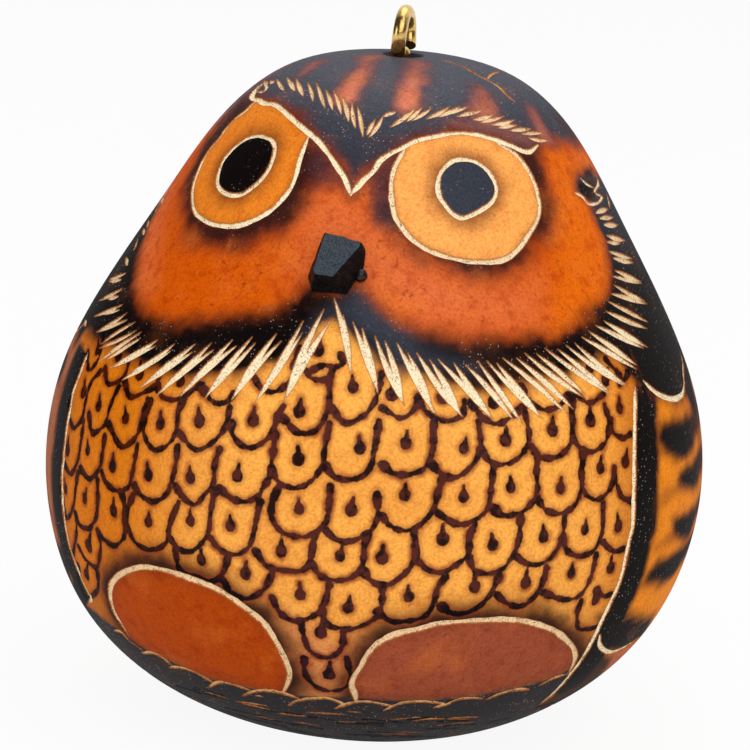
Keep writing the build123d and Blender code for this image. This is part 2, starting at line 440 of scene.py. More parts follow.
# In the ruff most come in pairs that run together at the foot
ruff = {
    "width": 0.60,
    "widthShares": (0.88, 1.16),
    "bows": (-0.03, 0.03),
    "groups": {"leftSide": (0.72, 0.5), "front": (1.0, 0.25), "rightSide": (0.85, 0.5)},
    "leftSide": [
        ((161.5, 195), (161.7, 203)), ((157, 205), (155.3, 211.6)), ((147.4, 220), (147, 227)),
        ((142.5, 228), (143.6, 234.4)), ((137, 238), (133, 251)), ((125, 257), (127, 265)),
        ((125.5, 273), (108.5, 279)), ((120.8, 279.4), (108.5, 280.6)), ((122, 288.8), (98, 300.5)),
        ((117.9, 296.4), (106.8, 298)), ((122, 304.6), (93.3, 316.3)), ((119, 309.8), (101, 314)),
        ((84, 320), (85, 326)), ((126.7, 312.7), (95.7, 332)), ((126.7, 319.8), (96, 332)),
        ((134.9, 322), (100.4, 343.7)), ((136, 330.3), (98.6, 347.8)), ((141, 332), (97, 362)),
        ((140, 338), (105, 360)),
    ],
    "front": [
        ((157, 340), (109, 368)), ((155, 346), (113, 367)), ((174, 344), (121, 380)),
        ((170, 351), (131, 371)), ((195, 344), (138, 389)), ((192, 352), (141, 386)),
        ((211, 343), (155, 396)), ((213, 350), (158, 393)), ((232, 340), (180, 396)),
        ((236, 346), (182, 392)), ((252, 337), (204, 399)), ((255, 343), (206, 396)),
        ((276, 334), (231, 400)), ((281, 341), (233, 398)), ((303, 321), (255, 402)),
        ((302, 333), (257, 400)), ((324, 309), (284, 402)), ((330, 321), (286, 398)),
        ((334, 298), (351, 373)), ((343, 315), (350, 370)), ((353, 322), (378, 392)),
        ((362, 328), (378, 393)), ((375, 336), (405, 406)), ((385, 341), (403, 402)),
        ((397, 343), (436, 415)), ((408, 353), (433, 413)), ((417, 353), (463, 417)),
        ((430, 360), (461, 415)), ((438, 359), (494, 420)), ((454, 363), (492, 417)),
        ((466, 365), (514, 420)), ((478, 361), (523, 424)), ((487, 361), (543, 419)),
        ((497, 363), (541, 417)), ((503, 358), (568, 414)), ((517, 358), (574, 409)),
        ((525, 353), (584, 397)), ((537, 354), (585, 394)), ((545, 348), (611, 394)),
        ((558, 349), (610, 392)), ((566, 345), (626, 386)), ((575, 343), (627, 385)),
        ((582, 337), (637, 369)), ((589, 331), (637, 365)), ((595.6, 325), (644, 348)),
        ((604, 320.5), (648, 347)),
    ],
    "rightSide": [
        ((606, 310.8), (647.5, 328.3)), ((608, 301), (648.2, 321.8)), ((611.2, 293.2), (647.5, 303.6)),
        ((613.8, 284.2), (645.6, 301)), ((613, 275.7), (641.7, 282.9)), ((615, 270), (641.7, 281.6)),
        ((613, 257.5), (634, 262)), ((609, 251), (632.6, 258.2)), ((607.3, 241.3), (621, 242.6)),
        ((606.6, 234.8), (625.5, 240)), ((604, 224.4), (618.3, 224.4)), ((600, 218), (613.8, 216.6)),
        ((596.2, 212.7), (608.6, 208.2)),
    ],
}

# Breast feathers, row by row: the drop, then the line round the feather from its left shoulder
feathers = {
    "lineWidth": 0.71,
    "step": 1.8,
    "dropSizes": (0.88, 1.16),
    "drawn": [
        ((97, 350), [(87, 352), (87, 359), (89, 370), (94, 365), (103, 337)]),
        ((118, 355), [(104, 368), (108, 384), (122, 378), (129, 360), (136, 343)]),
        ((139, 374), [(124, 381), (130, 397), (144, 392), (156, 384), (158, 376)]),
        ((180, 381), [(157, 386), (161, 396), (172, 400), (183, 397), (194, 389), (202, 384)]),
        (None, [(202, 389), (215, 403), (228, 401), (233, 394)]),
        (None, [(253, 376), (262, 389), (273, 392), (284, 387), (292, 380)]),
        ((318, 350), [(300, 348), (294, 369), (305, 369), (310, 377), (322, 380), (329, 377), (332, 372)]),
        (None, [(314, 369), (324, 365), (336, 367), (343, 362), (341, 355)]),
        ((83, 392), [(70, 400), (70, 421), (73, 428), (80, 421), (85, 401), (92, 380), (99, 372)]),
        ((98, 406), [(88, 413), (93, 433), (103, 426), (109, 408), (114, 395), (118, 387)]),
        ((125, 418), [(108, 424), (123, 447), (136, 436), (141, 420), (147, 399)]),
        ((160, 423), [(150, 401), (144, 436), (154, 450), (170, 442), (176, 429), (178, 411), (183, 401)]),
        ((199, 421), [(178, 432), (196, 450), (217, 438), (225, 427), (229, 408)]),
        ((253, 420), [(231, 423), (231, 431), (247, 448), (269, 437), (279, 413), (283, 406)]),
        ((299, 411), [(283, 418), (299, 433), (315, 431), (324, 419), (329, 401), (329, 379)]),
        ((353, 387), [(332, 408), (345, 423), (363, 416), (374, 403), (379, 386), (382, 374)]),
        ((392, 394), [(382, 408), (403, 418), (416, 407), (419, 396)]),
        ((443, 397), [(417, 399), (428, 413), (449, 421), (462, 415), (465, 401)]),
        ((494, 402), [(472, 403), (484, 418), (497, 424), (510, 418), (522, 408)]),
        (None, [(521, 386), (529, 400), (547, 410), (559, 406), (569, 395)]),
        ((590, 368), [(575, 392), (590, 403), (604, 394)]),
        ((606, 380), [(606, 359), (614, 368), (620, 375)]),
        (None, [(628, 373), (625, 380), (620, 384)]),
        ((67, 450), [(63, 462), (70, 474), (77, 461), (80, 444), (83, 421)]),
        ((87, 450), [(80, 469), (89, 479), (99, 468), (102, 452), (104, 437)]),
        ((112, 466), [(101, 471), (105, 482), (117, 491), (128, 487), (131, 477), (135, 456), (137, 445)]),
        ((148, 475), [(134, 486), (140, 495), (154, 502), (166, 494), (171, 481), (175, 466), (177, 447)]),
        ((190, 478), [(175, 486), (184, 499), (194, 505), (204, 495), (212, 486), (214, 465), (219, 450)]),
        ((237, 476), [(219, 489), (234, 500), (245, 502), (258, 496), (262, 489), (268, 480), (271, 465),
            (275, 435)]),
        ((298, 459), [(271, 468), (279, 483), (297, 488), (311, 481), (320, 470), (325, 447), (329, 424)]),
        ((360, 448), [(325, 465), (334, 477), (348, 480), (363, 476), (371, 466), (374, 452), (379, 421)]),
        ((406, 443), [(383, 465), (390, 472), (406, 475), (412, 474), (425, 468), (431, 457), (434, 423)]),
        ((464, 448), [(433, 465), (441, 474), (454, 478), (470, 468), (479, 455), (479, 421)]),
        ((506, 440), [(481, 450), (491, 462), (511, 463), (522, 455), (528, 445), (525, 408)]),
        ((553, 430), [(532, 447), (539, 456), (554, 458), (568, 449), (571, 444), (573, 426), (571, 401)]),
        ((591, 420), [(574, 399), (573, 416), (580, 447), (592, 452), (604, 445), (609, 421), (605, 405)]),
        ((620, 408), [(611, 420), (614, 433), (619, 436.5), (624, 438), (631, 434)]),
        ((65, 489), [(61, 490), (68, 518), (72, 509), (75, 489), (77, 474)]),
        ((84, 499), [(75, 514), (80, 526), (88, 529), (94, 521), (97, 504), (97, 481)]),
        ((113, 511), [(97, 531), (105, 541), (114, 546), (122, 540), (123, 516), (123, 499), (119, 491)]),
        ((148, 522), [(133, 495), (126, 514), (128, 529), (136, 544), (152, 550), (165, 544), (169, 526),
            (178, 503)]),
        ((190, 521), [(170, 539), (178, 549), (189, 552), (200, 545), (208, 532), (210, 514), (214, 492)]),
        ((230, 526), [(209, 537), (220, 550), (235, 555), (247, 549), (253, 535), (256, 519), (260, 502)]),
        ((299, 509), [(278, 489), (273, 499), (272, 519), (279, 530), (297, 537), (306, 537), (316, 532),
            (325, 524), (329, 504), (330, 487)]),
        ((351, 510), [(326, 531), (335, 539), (348, 542), (362, 537), (371, 531), (377, 519), (377, 494)]),
        ((405, 495), [(382, 516), (390, 526), (406, 531), (425, 521), (434, 509), (438, 493), (443, 477)]),
        ((464, 497), [(438, 513), (449, 521), (462, 525), (476, 520), (488, 509), (491, 492), (494, 467)]),
        ((511, 487), [(494, 509), (501, 515), (515, 515), (529, 507), (537, 493), (537, 471), (538, 458)]),
        ((561, 488), [(538, 499), (546, 510), (558, 514), (573, 508), (581, 494), (583, 477), (584, 456)]),
        ((601, 468), [(584, 451), (582, 479), (588, 496), (597, 500), (605, 496), (613, 483), (615, 468)]),
        ((626, 462), [(614.7, 473), (618, 486), (623, 497.5), (631, 501)]),
        (None, [(75, 514), (76, 530), (73, 553)]),
        ((88, 546), [(78, 547), (87, 562), (96, 568), (99, 557), (100, 545), (97, 531)]),
        ((201, 560), [(175, 551), (179, 569), (198, 578), (215, 581), (223, 572), (228, 557)]),
        ((281, 551), [(255, 551), (266, 566), (285, 571), (304, 570), (310, 560), (313, 544), (315, 535)]),
        ((340, 556), [(311, 563), (320, 576), (336, 581), (353, 577), (362, 567), (364, 549), (367, 535)]),
        ((382, 558), [(363, 571), (372, 582), (384, 586), (400, 578), (410, 568), (416, 555), (414, 532)]),
        ((443, 539), [(415, 545), (418, 560), (428, 570), (441, 573), (455, 566), (468, 555), (470, 536),
            (475, 525)]),
        ((493, 545), [(469, 558), (475, 571), (489, 574), (502, 570), (512, 558), (518, 545), (521, 516)]),
        ((544, 537), [(518, 558), (525, 563), (538, 565), (549, 560), (559, 547), (564, 531), (565, 516)]),
        ((585.5, 529.5), [(564, 536), (567, 550), (575, 556), (584, 556), (593, 552), (600, 541),
            (604, 504)]),
        ((619, 526), [(603.6, 542.5), (609, 548), (615, 551.6), (624, 549)]),
        ((86, 575), [(78, 566), (80, 585), (88, 598), (96, 592), (97, 572)]),
        ((245, 574), [(223, 581), (230, 592), (246, 599), (261, 592), (268, 583), (272, 573)]),
        ((300, 595), [(272, 598), (277, 609), (283, 616), (289, 620), (300, 621.6), (309, 618.5), (319, 612),
            (324, 604), (329, 586)]),
        ((348, 608), [(322, 607), (324, 620), (329, 626), (341, 629), (353, 629), (363, 626), (372, 621),
            (379, 615), (382, 602), (382, 586)]),
        ((409, 597), [(377, 612), (383, 617), (392, 622), (404, 622), (412, 621), (427, 615), (433, 605),
            (439, 586), (446, 577)]),
        ((475, 587), [(442, 607), (450, 613), (462, 614), (479, 607), (491, 594), (499, 578)]),
        ((526, 583), [(497, 595), (506, 603), (520, 607), (534, 598), (542, 586), (547, 569)]),
        ((572, 573), [(544, 593), (556, 598), (570, 600), (580, 596), (588, 585), (593, 572), (597, 554)]),
        ((611, 568), [(597, 590.5), (603.6, 596.4), (611.4, 594.4)]),
        ((320.7, 633), [(300, 621), (304, 638), (309, 650.6), (319, 657), (329, 658), (337, 654), (342, 647),
            (343, 631)]),
        ((596, 600), [(581.6, 601), (577.7, 614), (580, 629.5), (588, 629.5), (597, 627), (605, 616.5)]),
        ((328.8, 675), [(304, 659), (305, 674), (315, 686.4), (324, 690.7), (336, 691.4), (345, 688),
            (350, 684), (348.5, 668), (346.7, 658)]),
    ],
}

wings = {
    "lineWidth": 0.52,
    "step": 3.5,
    "rightLine": [
        (636, 387), (635.8, 402.7), (635.5, 427), (635, 453), (634.8, 486), (634, 512), (633, 529),
        (631, 536), (627.7, 551.6), (624.4, 567), (621, 580), (616, 593), (610.8, 603.5), (606, 614),
        (600.4, 625.6), (593, 641), (584, 657), (570, 676), (559.5, 688), (549, 698), (540, 705),
    ],
    "leftLine": [
        (86.5, 353), (80, 372), (73, 391), (68, 416), (64, 445), (61.5, 473), (62, 504), (65, 527),
        (68.5, 545), (74, 562), (81, 580), (91, 600),
    ],
    "overlap": 1.5,           # the far line's unseen foot starts this far below its end in the photo
    "capShare": 0.85,
    "capStep": 3.0,
    "cap": [
        (643.9, 380.6), (651.7, 388.4), (663.4, 396.2), (676.4, 398.8), (682.9, 395), (684.8, 387),
        (684, 375.5), (683.5, 364), (680.3, 351),
    ],
    "tip": [(600.4, 635), (600.4, 646), (603.6, 650), (610, 653), (620.5, 650), (631, 644), (640, 637)],
    "rearStep": 2.0,
    "rearEdge": [(122, 14), (127, 4), (125, -8), (118, -20), (104, -31), (86, -40), (68, -46)],
    "blots": [
        [(661, 425), (672, 420), (684, 424), (692, 434), (693, 450), (684, 458), (667, 452), (659, 438)],
        [(681, 471), (690, 464), (697, 470), (696, 486), (686, 489), (679, 481)],
        [(673, 520), (683, 515), (693, 511), (692, 528), (686, 539), (675, 535)],
        [(649, 574), (659, 563), (671, 556), (681, 551), (679, 566), (668, 580), (655, 585), (647, 582)],
    ],
    "bandWidth": 4.1,         # of the char outside a wing's line
    "bandEdgeWidth": 4.5,
    "bandShift": 3.5,         # degrees from a line to the middle of the char along it
    "bandFoot": 10,
    "rearBandWidth": 2.4,
    "rearBandShift": -3.4,
    "barEnd": 113,            # bearing where the bar behind a blot ends
    "barEndStep": 3.5,
    "firstBarWidth": 3.4,
    "barWidth": 2.6,
    "charredShare": 0.7,
    "linkWidth": 1.1,
}

feet = {
    "lineWidth": 0.52,
    "unevenness": 0.16,
    "toast": 0.55,
    "step": 3.5,
    "left": [
        (128, 636), (121, 625), (112, 608), (109.5, 596), (110, 586.5), (116.5, 577), (126, 571.7),
        (140, 567.8), (154, 568.6), (168, 571.7), (183.5, 577), (199, 582.6), (214.6, 588.8), (227, 596),
        (239.5, 604.4), (252, 613.7), (263, 623), (272, 636), (280, 650), (286, 663), (289.4, 675),
        (287, 684.6), (283, 693),
    ],
    "right": [
        (356, 702.5), (354.7, 695), (351.6, 686), (354.7, 676.5), (361, 666.7), (367, 655.6), (375.7, 645.7),
        (388, 638), (402.8, 632.7), (418.7, 629.6), (434, 625), (454.5, 622.6), (481, 621), (506, 620),
        (524.6, 621.8), (543, 626.5), (556, 632), (566.7, 640.5), (574.5, 650), (576, 657.6), (573, 667),
        (569, 674),
    ],
}

base = {
    "lineWidth": 0.32,
    "unevenness": 0.22,
    "toast": 0.9,
    "step": 2.5,
    "scallops": [
        [(114, 631), (118, 631.7), (130, 642), (141.4, 650)],
        [(141.4, 653.5), (150.7, 653), (161.7, 658), (171.8, 666)],
        [(169, 668), (174, 667.5), (182, 668.3), (191, 671.4), (211.5, 682.3)],
        [(209, 687.7), (214.6, 683.8), (222.4, 682.7), (230, 684.6), (250.4, 691)],
        [(242.5, 696.5), (252, 692.3), (265, 691), (280, 693), (298.5, 699)],
        [(288.6, 705.6), (295.4, 702), (303, 700), (316.4, 698.8), (327.5, 698.8), (337.4, 702),
            (344.8, 705.6)],
        [(335, 709.3), (343.6, 705.6), (353.5, 703), (366, 702), (378, 703.7), (391.7, 706.8)],
        [(384, 711), (391.7, 707.4), (399, 704.3), (415.6, 702), (431, 702.5), (446.7, 704.7)],
        [(434, 708), (446.7, 704.7), (454.5, 701), (470, 698.4), (482.6, 699)],
        [(487, 699.7), (499.7, 694.7), (518.4, 690), (529.3, 690.3)],
        [(540, 685.7), (556, 678), (568, 674.5)],
    ],
    "edge": [
        (80, 599), (97, 613), (116, 628), (141.4, 647), (171, 661), (210, 679), (250, 688), (298, 695.5),
        (344, 698), (390, 700), (434, 699.5), (485, 694), (540, 682), (568, 671), (600, 655),
    ],
    "frontRise": -40.0,
    "rearRise": -49.0,
    "rearBearings": (62.0, 285),
    "rearGaps": (10.5, 12.5),
    "rearScallop": [(0, -0.6), (4, 0.6), (9, 0), (12.5, -1.4)],
    "nicks": [
        ((236, 702), (266, 706)), ((278, 714), (306, 717)), ((310, 713), (344, 715)),
        ((294, 722), (318, 726)), ((340, 722), (354, 723)), ((348, 712), (360, 713)),
        ((392, 720), (420, 718)), ((256, 696), (262, 697)),
    ],
    "nickWidth": 0.24,
    "nickUnevenness": 0.3,
    "nickStep": 4.0,
    "scratches": 420,
    "scratchFoot": -72,
    "scratchTop": -3.2,
    "scratchLengths": (4, 12),
    "scratchScale": 0.6,
    "scratchSlants": (-0.8, 0.8),
    "scratchBow": 0.3,
    "cutShare": 0.22,         # of the scratches; the others are burnt
    "cutWidths": (0.13, 0.24),
    "burntWidths": (0.26, 0.42),
}

back = {
    "napeBearings": (104.0, 258),
    "napeRise": 12.0,
    "napeWander": (-0.6, 0.6),
    "napeStep": 4.4,
    "napeStepShares": (0.9, 1.1),
    "flickShifts": (0.0, 1.7),
    "flickTop": 5.5,
    "flickFoot": (0.9, -4.5),
    "flickHalf": 0.28,
    "flickToast": 0.3,
    "flickStep": 1.2,
    "mantleRises": [6.0, -5.0, -16.0, -27.0, -38.0],
    "mantleReaches": [51, 52, 56, 64, 78],      # degrees each side of the middle of the back
    "mantleStep": 11.5,
    "mantleShifts": (0.15, 0.5),                # of the rows in turn
    "mantleOverlap": 0.6,
    "mantleWander": (-0.5, 0.5),
    # Across as a share of the feather's half width, up in degrees, and whether the point wanders
    "feather": [(-1, 2, 0), (-0.86, -3.2, 1), (0, -6.4, 0), (0.86, -3.2, 0), (1, 3, 1)],
    "drop": [2.4, 0.6, -0.9, -1.1],
}


def cutTheFace():
    for names, step, howCut in face["cutting"]:
        for name in names:
            outline = face[name] if howCut.get("pointed", True) else closed(face[name])
            cutLine(skinLine(outline, step), **howCut)
    for flicks in (browFlicks, ruff):
        for group, (share, toast) in flicks["groups"].items():
            for top, tip in flicks[group]:
                width = flicks["width"] * share * dice.uniform(*flicks["widthShares"])
                cutSliver(top, tip, width, dice.uniform(*flicks["bows"]), toast)


def drawTheBreast():
    for drop, line in feathers["drawn"]:
        burnLine(skinLine(line, feathers["step"]), feathers["lineWidth"])
        if drop:
            burnDrop(*drop, dice.uniform(*feathers["dropSizes"]))


def rearCut(places, width, toast):
    cutLine(rearLine(places, step=1.0), width, toast=toast)


def rearBurn(places, width):
    burnLine(rearLine(places, step=0.35), width)


def drawWingsAndFeet():
    right = skinLine(wings["rightLine"], wings["step"])
    left = skinLine(wings["leftLine"], wings["step"])
    low = mirrored(right[right[:, 2] < left[-1, 2] - wings["overlap"]])
    left = np.vstack([left, low])
    rear = rearLine(wings["rearEdge"], wings["rearStep"])
    for line in (right, left, rear, mirrored(rear)):
        cutLine(line, wings["lineWidth"])
    for name in ("cap", "tip"):
        outline = skinLine(wings[name], wings["capStep"])
        for line in (outline, mirrored(outline)):
            cutLine(line, wings["lineWidth"] * wings["capShare"])
    for name in ("left", "right"):
        outline = skinLine(feet[name], feet["step"])
        cutLine(outline, feet["lineWidth"], feet["unevenness"], toast=feet["toast"])
    return right, left, rear


def cutTheBase():
    for line in base["scallops"]:
        cutLine(skinLine(line, base["step"]), base["lineWidth"], base["unevenness"], toast=base["toast"])
    bearing, last = base["rearBearings"]
    while bearing < last:
        arc = [(bearing + along, base["rearRise"] + up) for along, up in base["rearScallop"]]
        rearCut(arc, base["lineWidth"], base["toast"])
        bearing += dice.uniform(*base["rearGaps"])
    for nick in base["nicks"]:
        spots = skinLine(nick, base["nickStep"])
        cutLine(spots, base["nickWidth"], base["nickUnevenness"], toast=base["toast"])
    for _ in range(base["scratches"]):
        scratchTheBase()


def scratchTheBase():
    bearing = dice.uniform(-180, 180)
    top = base["frontRise"] if abs(bearing) < base["rearBearings"][0] else base["rearRise"]
    rise = dice.uniform(base["scratchFoot"], top + base["scratchTop"])
    length = dice.uniform(*base["scratchLengths"]) / math.cos(math.radians(rise)) * base["scratchScale"]
    slant = dice.uniform(*base["scratchSlants"])
    middle = (bearing + length / 2, rise + slant / 2 + base["scratchBow"])
    line = [(bearing, rise), middle, (bearing + length, rise + slant)]
    if dice.random() < base["cutShare"]:
        rearCut(line, dice.uniform(*base["cutWidths"]), toast=1.0)
    else:
        rearBurn(line, dice.uniform(*base["burntWidths"]))


def cutTheBack():
    # Not in the photo: the ruff goes on round the nape, over a mantle of the same feathers
    bearing, last = back["napeBearings"]
    while bearing < last:
        rise = back["napeRise"] + dice.uniform(*back["napeWander"])
        for shift in back["flickShifts"]:
            top = (bearing + shift, rise + back["flickTop"] - shift)
            foot = (bearing + back["flickFoot"][0], rise + back["flickFoot"][1])
            spots = rearLine([top, foot], back["flickStep"])
            bulge = np.sin(np.linspace(0, 1, len(spots)) * math.pi)
            cuts.append((spots, back["flickHalf"] * bulge - knife["thinnest"], back["flickToast"]))
        bearing += back["napeStep"] * dice.uniform(*back["napeStepShares"])
    for number, (rise, reach) in enumerate(zip(back["mantleRises"], back["mantleReaches"])):
        count = max(3, round(2 * reach / back["mantleStep"]))
        for n in range(count):
            middle = 180 - reach + (n + back["mantleShifts"][number % 2]) * 2 * reach / count
            broad = 2 * reach / count / 2 + back["mantleOverlap"]
            wander = dice.uniform(*back["mantleWander"])
            line = [(middle + broad * across, rise + up + wander * wanders)
                    for across, up, wanders in back["feather"]]
            rearBurn(line, feathers["lineWidth"])
            spots = skinPoints([(middle, rise + up) for up in back["drop"]])
            burns.append((spots, np.array(hotPoint["dropHalves"]), 0.0))


cutTheFace()
drawTheBreast()
rightWingLine, leftWingLine, rearWingLine = drawWingsAndFeet()
cutTheBase()
cutTheBack()
print("drawn", len(cuts), "cuts and", len(burns), "burns")


def closeTo(spots, line, reach):
    # Which spots are in the line's box, grown by reach
    low, high = line.min(axis=0) - reach, line.max(axis=0) + reach
    near = np.where((spots[:, 2] > low[2]) & (spots[:, 2] < high[2]))[0]
    return near[((spots[near] > low) & (spots[near] < high)).all(axis=1)]


def lineDistance(spots, line, half=None):
    # Least distance from each spot to a line, less the line's half width there
    start, along = line[:-1], np.diff(line, axis=0)
    share = ((spots[:, None, :] - start) * along).sum(axis=2) / np.maximum((along**2).sum(axis=1), 1e-9)
    share = np.clip(share, 0, 1)
    far = np.linalg.norm(spots[:, None, :] - start - share[:, :, None] * along, axis=2)
    if half is not None:
        far = far - half[:-1] - share * np.diff(half)
    return far.min(axis=1)


def drawingDistance(spots, drawing):
    # How far each spot is from the nearest line's edge, and how toasted that line is
    best, toasted = np.full(len(spots), meshing["drawnReach"]), np.zeros(len(spots))
    for line, half, toast in drawing:
        near = closeTo(spots, line, meshing["drawnReach"])
        if len(near):
            far = lineDistance(spots[near], line, half)
            toasted[near[far < best[near]]] = toast
            best[near] = np.minimum(best[near], far)
    return best, toasted


def evenRows(curve, row):
    run = runAlong(np.hypot(*np.diff(curve, axis=0).T))
    at = np.linspace(0, run[-1], max(2, round(run[-1] / row) + 1))
    return np.stack([np.interp(at, run, curve[:, 0]), np.interp(at, run, curve[:, 1])], axis=1)


def shellOutline():
    # Out from under the gourd, up its side, down the eye's hollow and the bore, and round the cavity
    wall, centre, hollow = gourd["wall"], gourd["hollowCentre"], gourd["hollowRadius"]
    bore = gourd["boreRadius"]
    side = fineOutline[np.hypot(fineOutline[:, 0], fineOutline[:, 1] - centre) > hollow]
    start = math.atan2(side[-1, 0], centre - side[-1, 1])
    angles = np.linspace(start, math.asin(bore / hollow), gourd["hollowSteps"])
    cup = np.stack([hollow * np.sin(angles), centre - hollow * np.cos(angles)], axis=1)
    insideHeight = gourd["height"] - wall - gourd["stemThickness"]
    inside = smoothOutline(gourd["radius"] - wall, insideHeight, meshing["cavitySteps"]) + (0, wall)
    inside = inside[::-1]
    inside = inside[inside[:, 0] > bore]
    boreMiddle = np.array([(bore, (cup[-1, 1] + inside[0, 1]) / 2)])
    cavityFloor = np.array([(meshing["cavityRing"], wall), (0, wall)])
    return np.vstack([meshing["floorRings"], evenRows(side, meshing["outsideRow"]), cup, boreMiddle,
                      evenRows(inside, meshing["insideRow"]), cavityFloor])


def isOutside(spots):
    far = np.abs(np.linalg.norm(spots - hub, axis=1) - roundReach(spots))
    cup = np.linalg.norm(spots - (0, 0, gourd["hollowCentre"]), axis=1)
    return (far < 0.03) & (cup > gourd["hollowRadius"] - 0.01)


def turnShell():
    # Turned from its outline and made finer along the drawing and round the wings' blots
    half = meshing["blotHalf"]
    blots = [skinLine(closed(blot), step=4.0) for blot in wings["blots"]]
    soft = [(spots, np.full(len(spots), half), 0.0) for blot in blots for spots in (blot, mirrored(blot))]
    shell = bmesh.new()
    corners = [shell.verts.new((x, 0, z)) for x, z in shellOutline()]
    edges = [shell.edges.new(pair) for pair in zip(corners, corners[1:])]
    bmesh.ops.spin(shell, geom=corners + edges, cent=(0, 0, 0), axis=(0, 0, 1), angle=2 * math.pi,
                   steps=meshing["turns"], use_merge=True, use_duplicate=False)
    bmesh.ops.remove_doubles(shell, verts=shell.verts, dist=0.001)
    bmesh.ops.recalc_face_normals(shell, faces=shell.faces)
    for level, drawing in enumerate((cuts + burns + soft, cuts + burns, cuts)):
        reach = meshing["levels"][level]
        spots = np.array([v.co[:] for v in shell.verts])
        outside = isOutside(spots)
        away = np.full(len(spots), meshing["farAway"])
        away[outside] = drawingDistance(ontoSkin(spots[outside]), drawing)[0]
        shell.verts.index_update()
        chosen = set()
        for drawn in shell.faces:
            nearest = [away[v.index] for v in drawn.verts]
            least, most = min(nearest), max(nearest)
            if least < reach and most < meshing["tooFar"] and (level == 0 or most > meshing["deepInside"]):
                chosen.update(drawn.edges)
        bmesh.ops.subdivide_edges(shell, edges=list(chosen), cuts=1, use_grid_fill=True)
        print("finer to", reach, "faces", len(shell.faces))
    return meshFrom(shell, "gourdSkin")


def readAll(items, key, width=1, kind=float):
    values = np.empty(len(items) * width, kind)
    items.foreach_get(key, values)
    return values.reshape(-1, width) if width > 1 else values


skinMesh = turnShell()
spotsAll = readAll(skinMesh.vertices, "co", 3)
outer = np.where(isOutside(spotsAll))[0]
skin = ontoSkin(spotsAll[outer])
skinBearing, skinRise = bearingRise(skin)
paleDistance, toasted = drawingDistance(skin, cuts)
burntDistance, _ = drawingDistance(skin, burns)


def fieldNoise(size, seed):
    shift = Vector((seed, -seed, seed * 0.5))
    return np.array([noise.noise(Vector(spot) / size + shift) for spot in skin])


# Slow and quick wandering over the skin, for the edges of the dye and the depth of the cuts
drift = fieldNoise(size=9.0, seed=11.3)
ripple = fieldNoise(size=1.1, seed=23.1)
sway = fieldNoise(size=3.2, seed=3.7) + 0.6 * ripple


def soften(share):
    share = np.clip(share, 0, 1)
    return share * share * (3 - 2 * share)


def ramp(values, start, full):
    return soften((values - start) / (full - start))


def insideOf(outline, fade, wander=0.5):
    # 1 inside an outline drawn on the skin and 0 outside it, fading over some millimetres
    bearing, rise = bearingRise(outline)
    middle = math.degrees(math.atan2(np.sin(np.radians(bearing)).mean(), np.cos(np.radians(bearing)).mean()))
    bearing = (bearing - middle + 180) % 360 - 180
    own = (skinBearing - middle + 180) % 360 - 180
    margin = 3 + fade * 3
    steepest = min(80, max(abs(rise.min()), abs(rise.max())))
    side = margin / max(0.15, math.cos(math.radians(steepest)))
    near = np.where((own > bearing.min() - side) & (own < bearing.max() + side)
                    & (skinRise > rise.min() - margin) & (skinRise < rise.max() + margin))[0]
    across, up = own[near], skinRise[near]
    inside = np.zeros(len(near), bool)
    for i in range(len(outline)):
        b0, r0, b1, r1 = bearing[i - 1], rise[i - 1], bearing[i], rise[i]
        if r0 != r1:
            inside ^= ((r0 > up) != (r1 > up)) & (across < b0 + (up - r0) / (r1 - r0) * (b1 - b0))
    signed = lineDistance(skin[near], np.vstack([outline, outline[:1]]))
    signed = np.where(inside, signed, -signed) + sway[near] * wander
    share = np.zeros(len(skin))
    share[near] = soften(0.5 + signed / fade)
    return share


def alongLine(spots, width, fade, wander=0.4):
    # 1 on a band along a line, fading over some millimetres at its edges
    near = closeTo(skin, spots, width / 2 + fade)
    share = np.zeros(len(skin))
    away = lineDistance(skin[near], spots) + sway[near] * wander
    share[near] = soften(0.5 + (width / 2 - away) / fade)
    return share


def aboveEdge(spots, fade, wander=0.5):
    # 1 above an edge that goes all round the gourd
    bearing, rise = bearingRise(spots)
    order = np.argsort(bearing)
    limit = np.interp(skinBearing, bearing[order], rise[order], period=360)
    return soften(0.5 + ((skinRise - limit) * 0.6 + sway * wander) / fade)


def plain(red, green, blue):
    # A colour as seen, 0 to 255, made linear
    value = np.array([red, green, blue]) / 255
    return np.where(value <= 0.04045, value / 12.92, ((value + 0.055) / 1.055) ** 2.4)


# Colours of the dye and char, some of them standing for painted shade and sheen
stainsAndPaintedLight = {
    "bareRind": (240, 158, 58),
    # Painted shade: the breast's orange darker and more saturated round the sides
    "breastShadedSides": (220, 124, 8),
    "breastRight": (255, 180, 80),
    "betweenFeet": (218, 138, 84),
    "betweenLines": (206, 116, 40),
    "besideWings": (136, 62, 22),
    "charcoal": (16, 10, 10),
    # Char with painted sheen, and the lighter painted sheen on the crown
    "charWithSheen": (54, 59, 71),
    "crownSlate": (92, 95, 106),
    "salmon": (230, 136, 100),
    "salmonEdge": (108, 62, 70),
    "cheek": (210, 88, 0),
    "cheekSalmon": (226, 114, 60),
    "cheekOrange": (232, 110, 8),
    # The iris's orange, painted in shade for the left eye and painted lit for the right
    "irisInShade": (234, 134, 36),
    "irisInLight": (255, 174, 88),
    "irisHalo": (104, 48, 26),
    "mauve": (76, 48, 54),
    "brownEdge": (104, 40, 20),
    "haloEdge": (126, 52, 40),
    "haloMiddle": (44, 22, 20),
    "footLeft": (178, 70, 0),
    "footRight": (158, 78, 50),
    "footHalo": (44, 20, 16),
    "wingOrange": (240, 142, 26),
    # The far wing's orange with painted shade and a painted brown-pink sheen
    "farWingShadeAndSheen": (172, 100, 62),
    "base": (44, 42, 45),
    "underWing": (184, 98, 72),
    "browFringe": (164, 100, 88),
    "crownBrown": (70, 44, 38),
    "cavity": (176, 128, 78),
    "eyeHollow": (50, 44, 48),
}

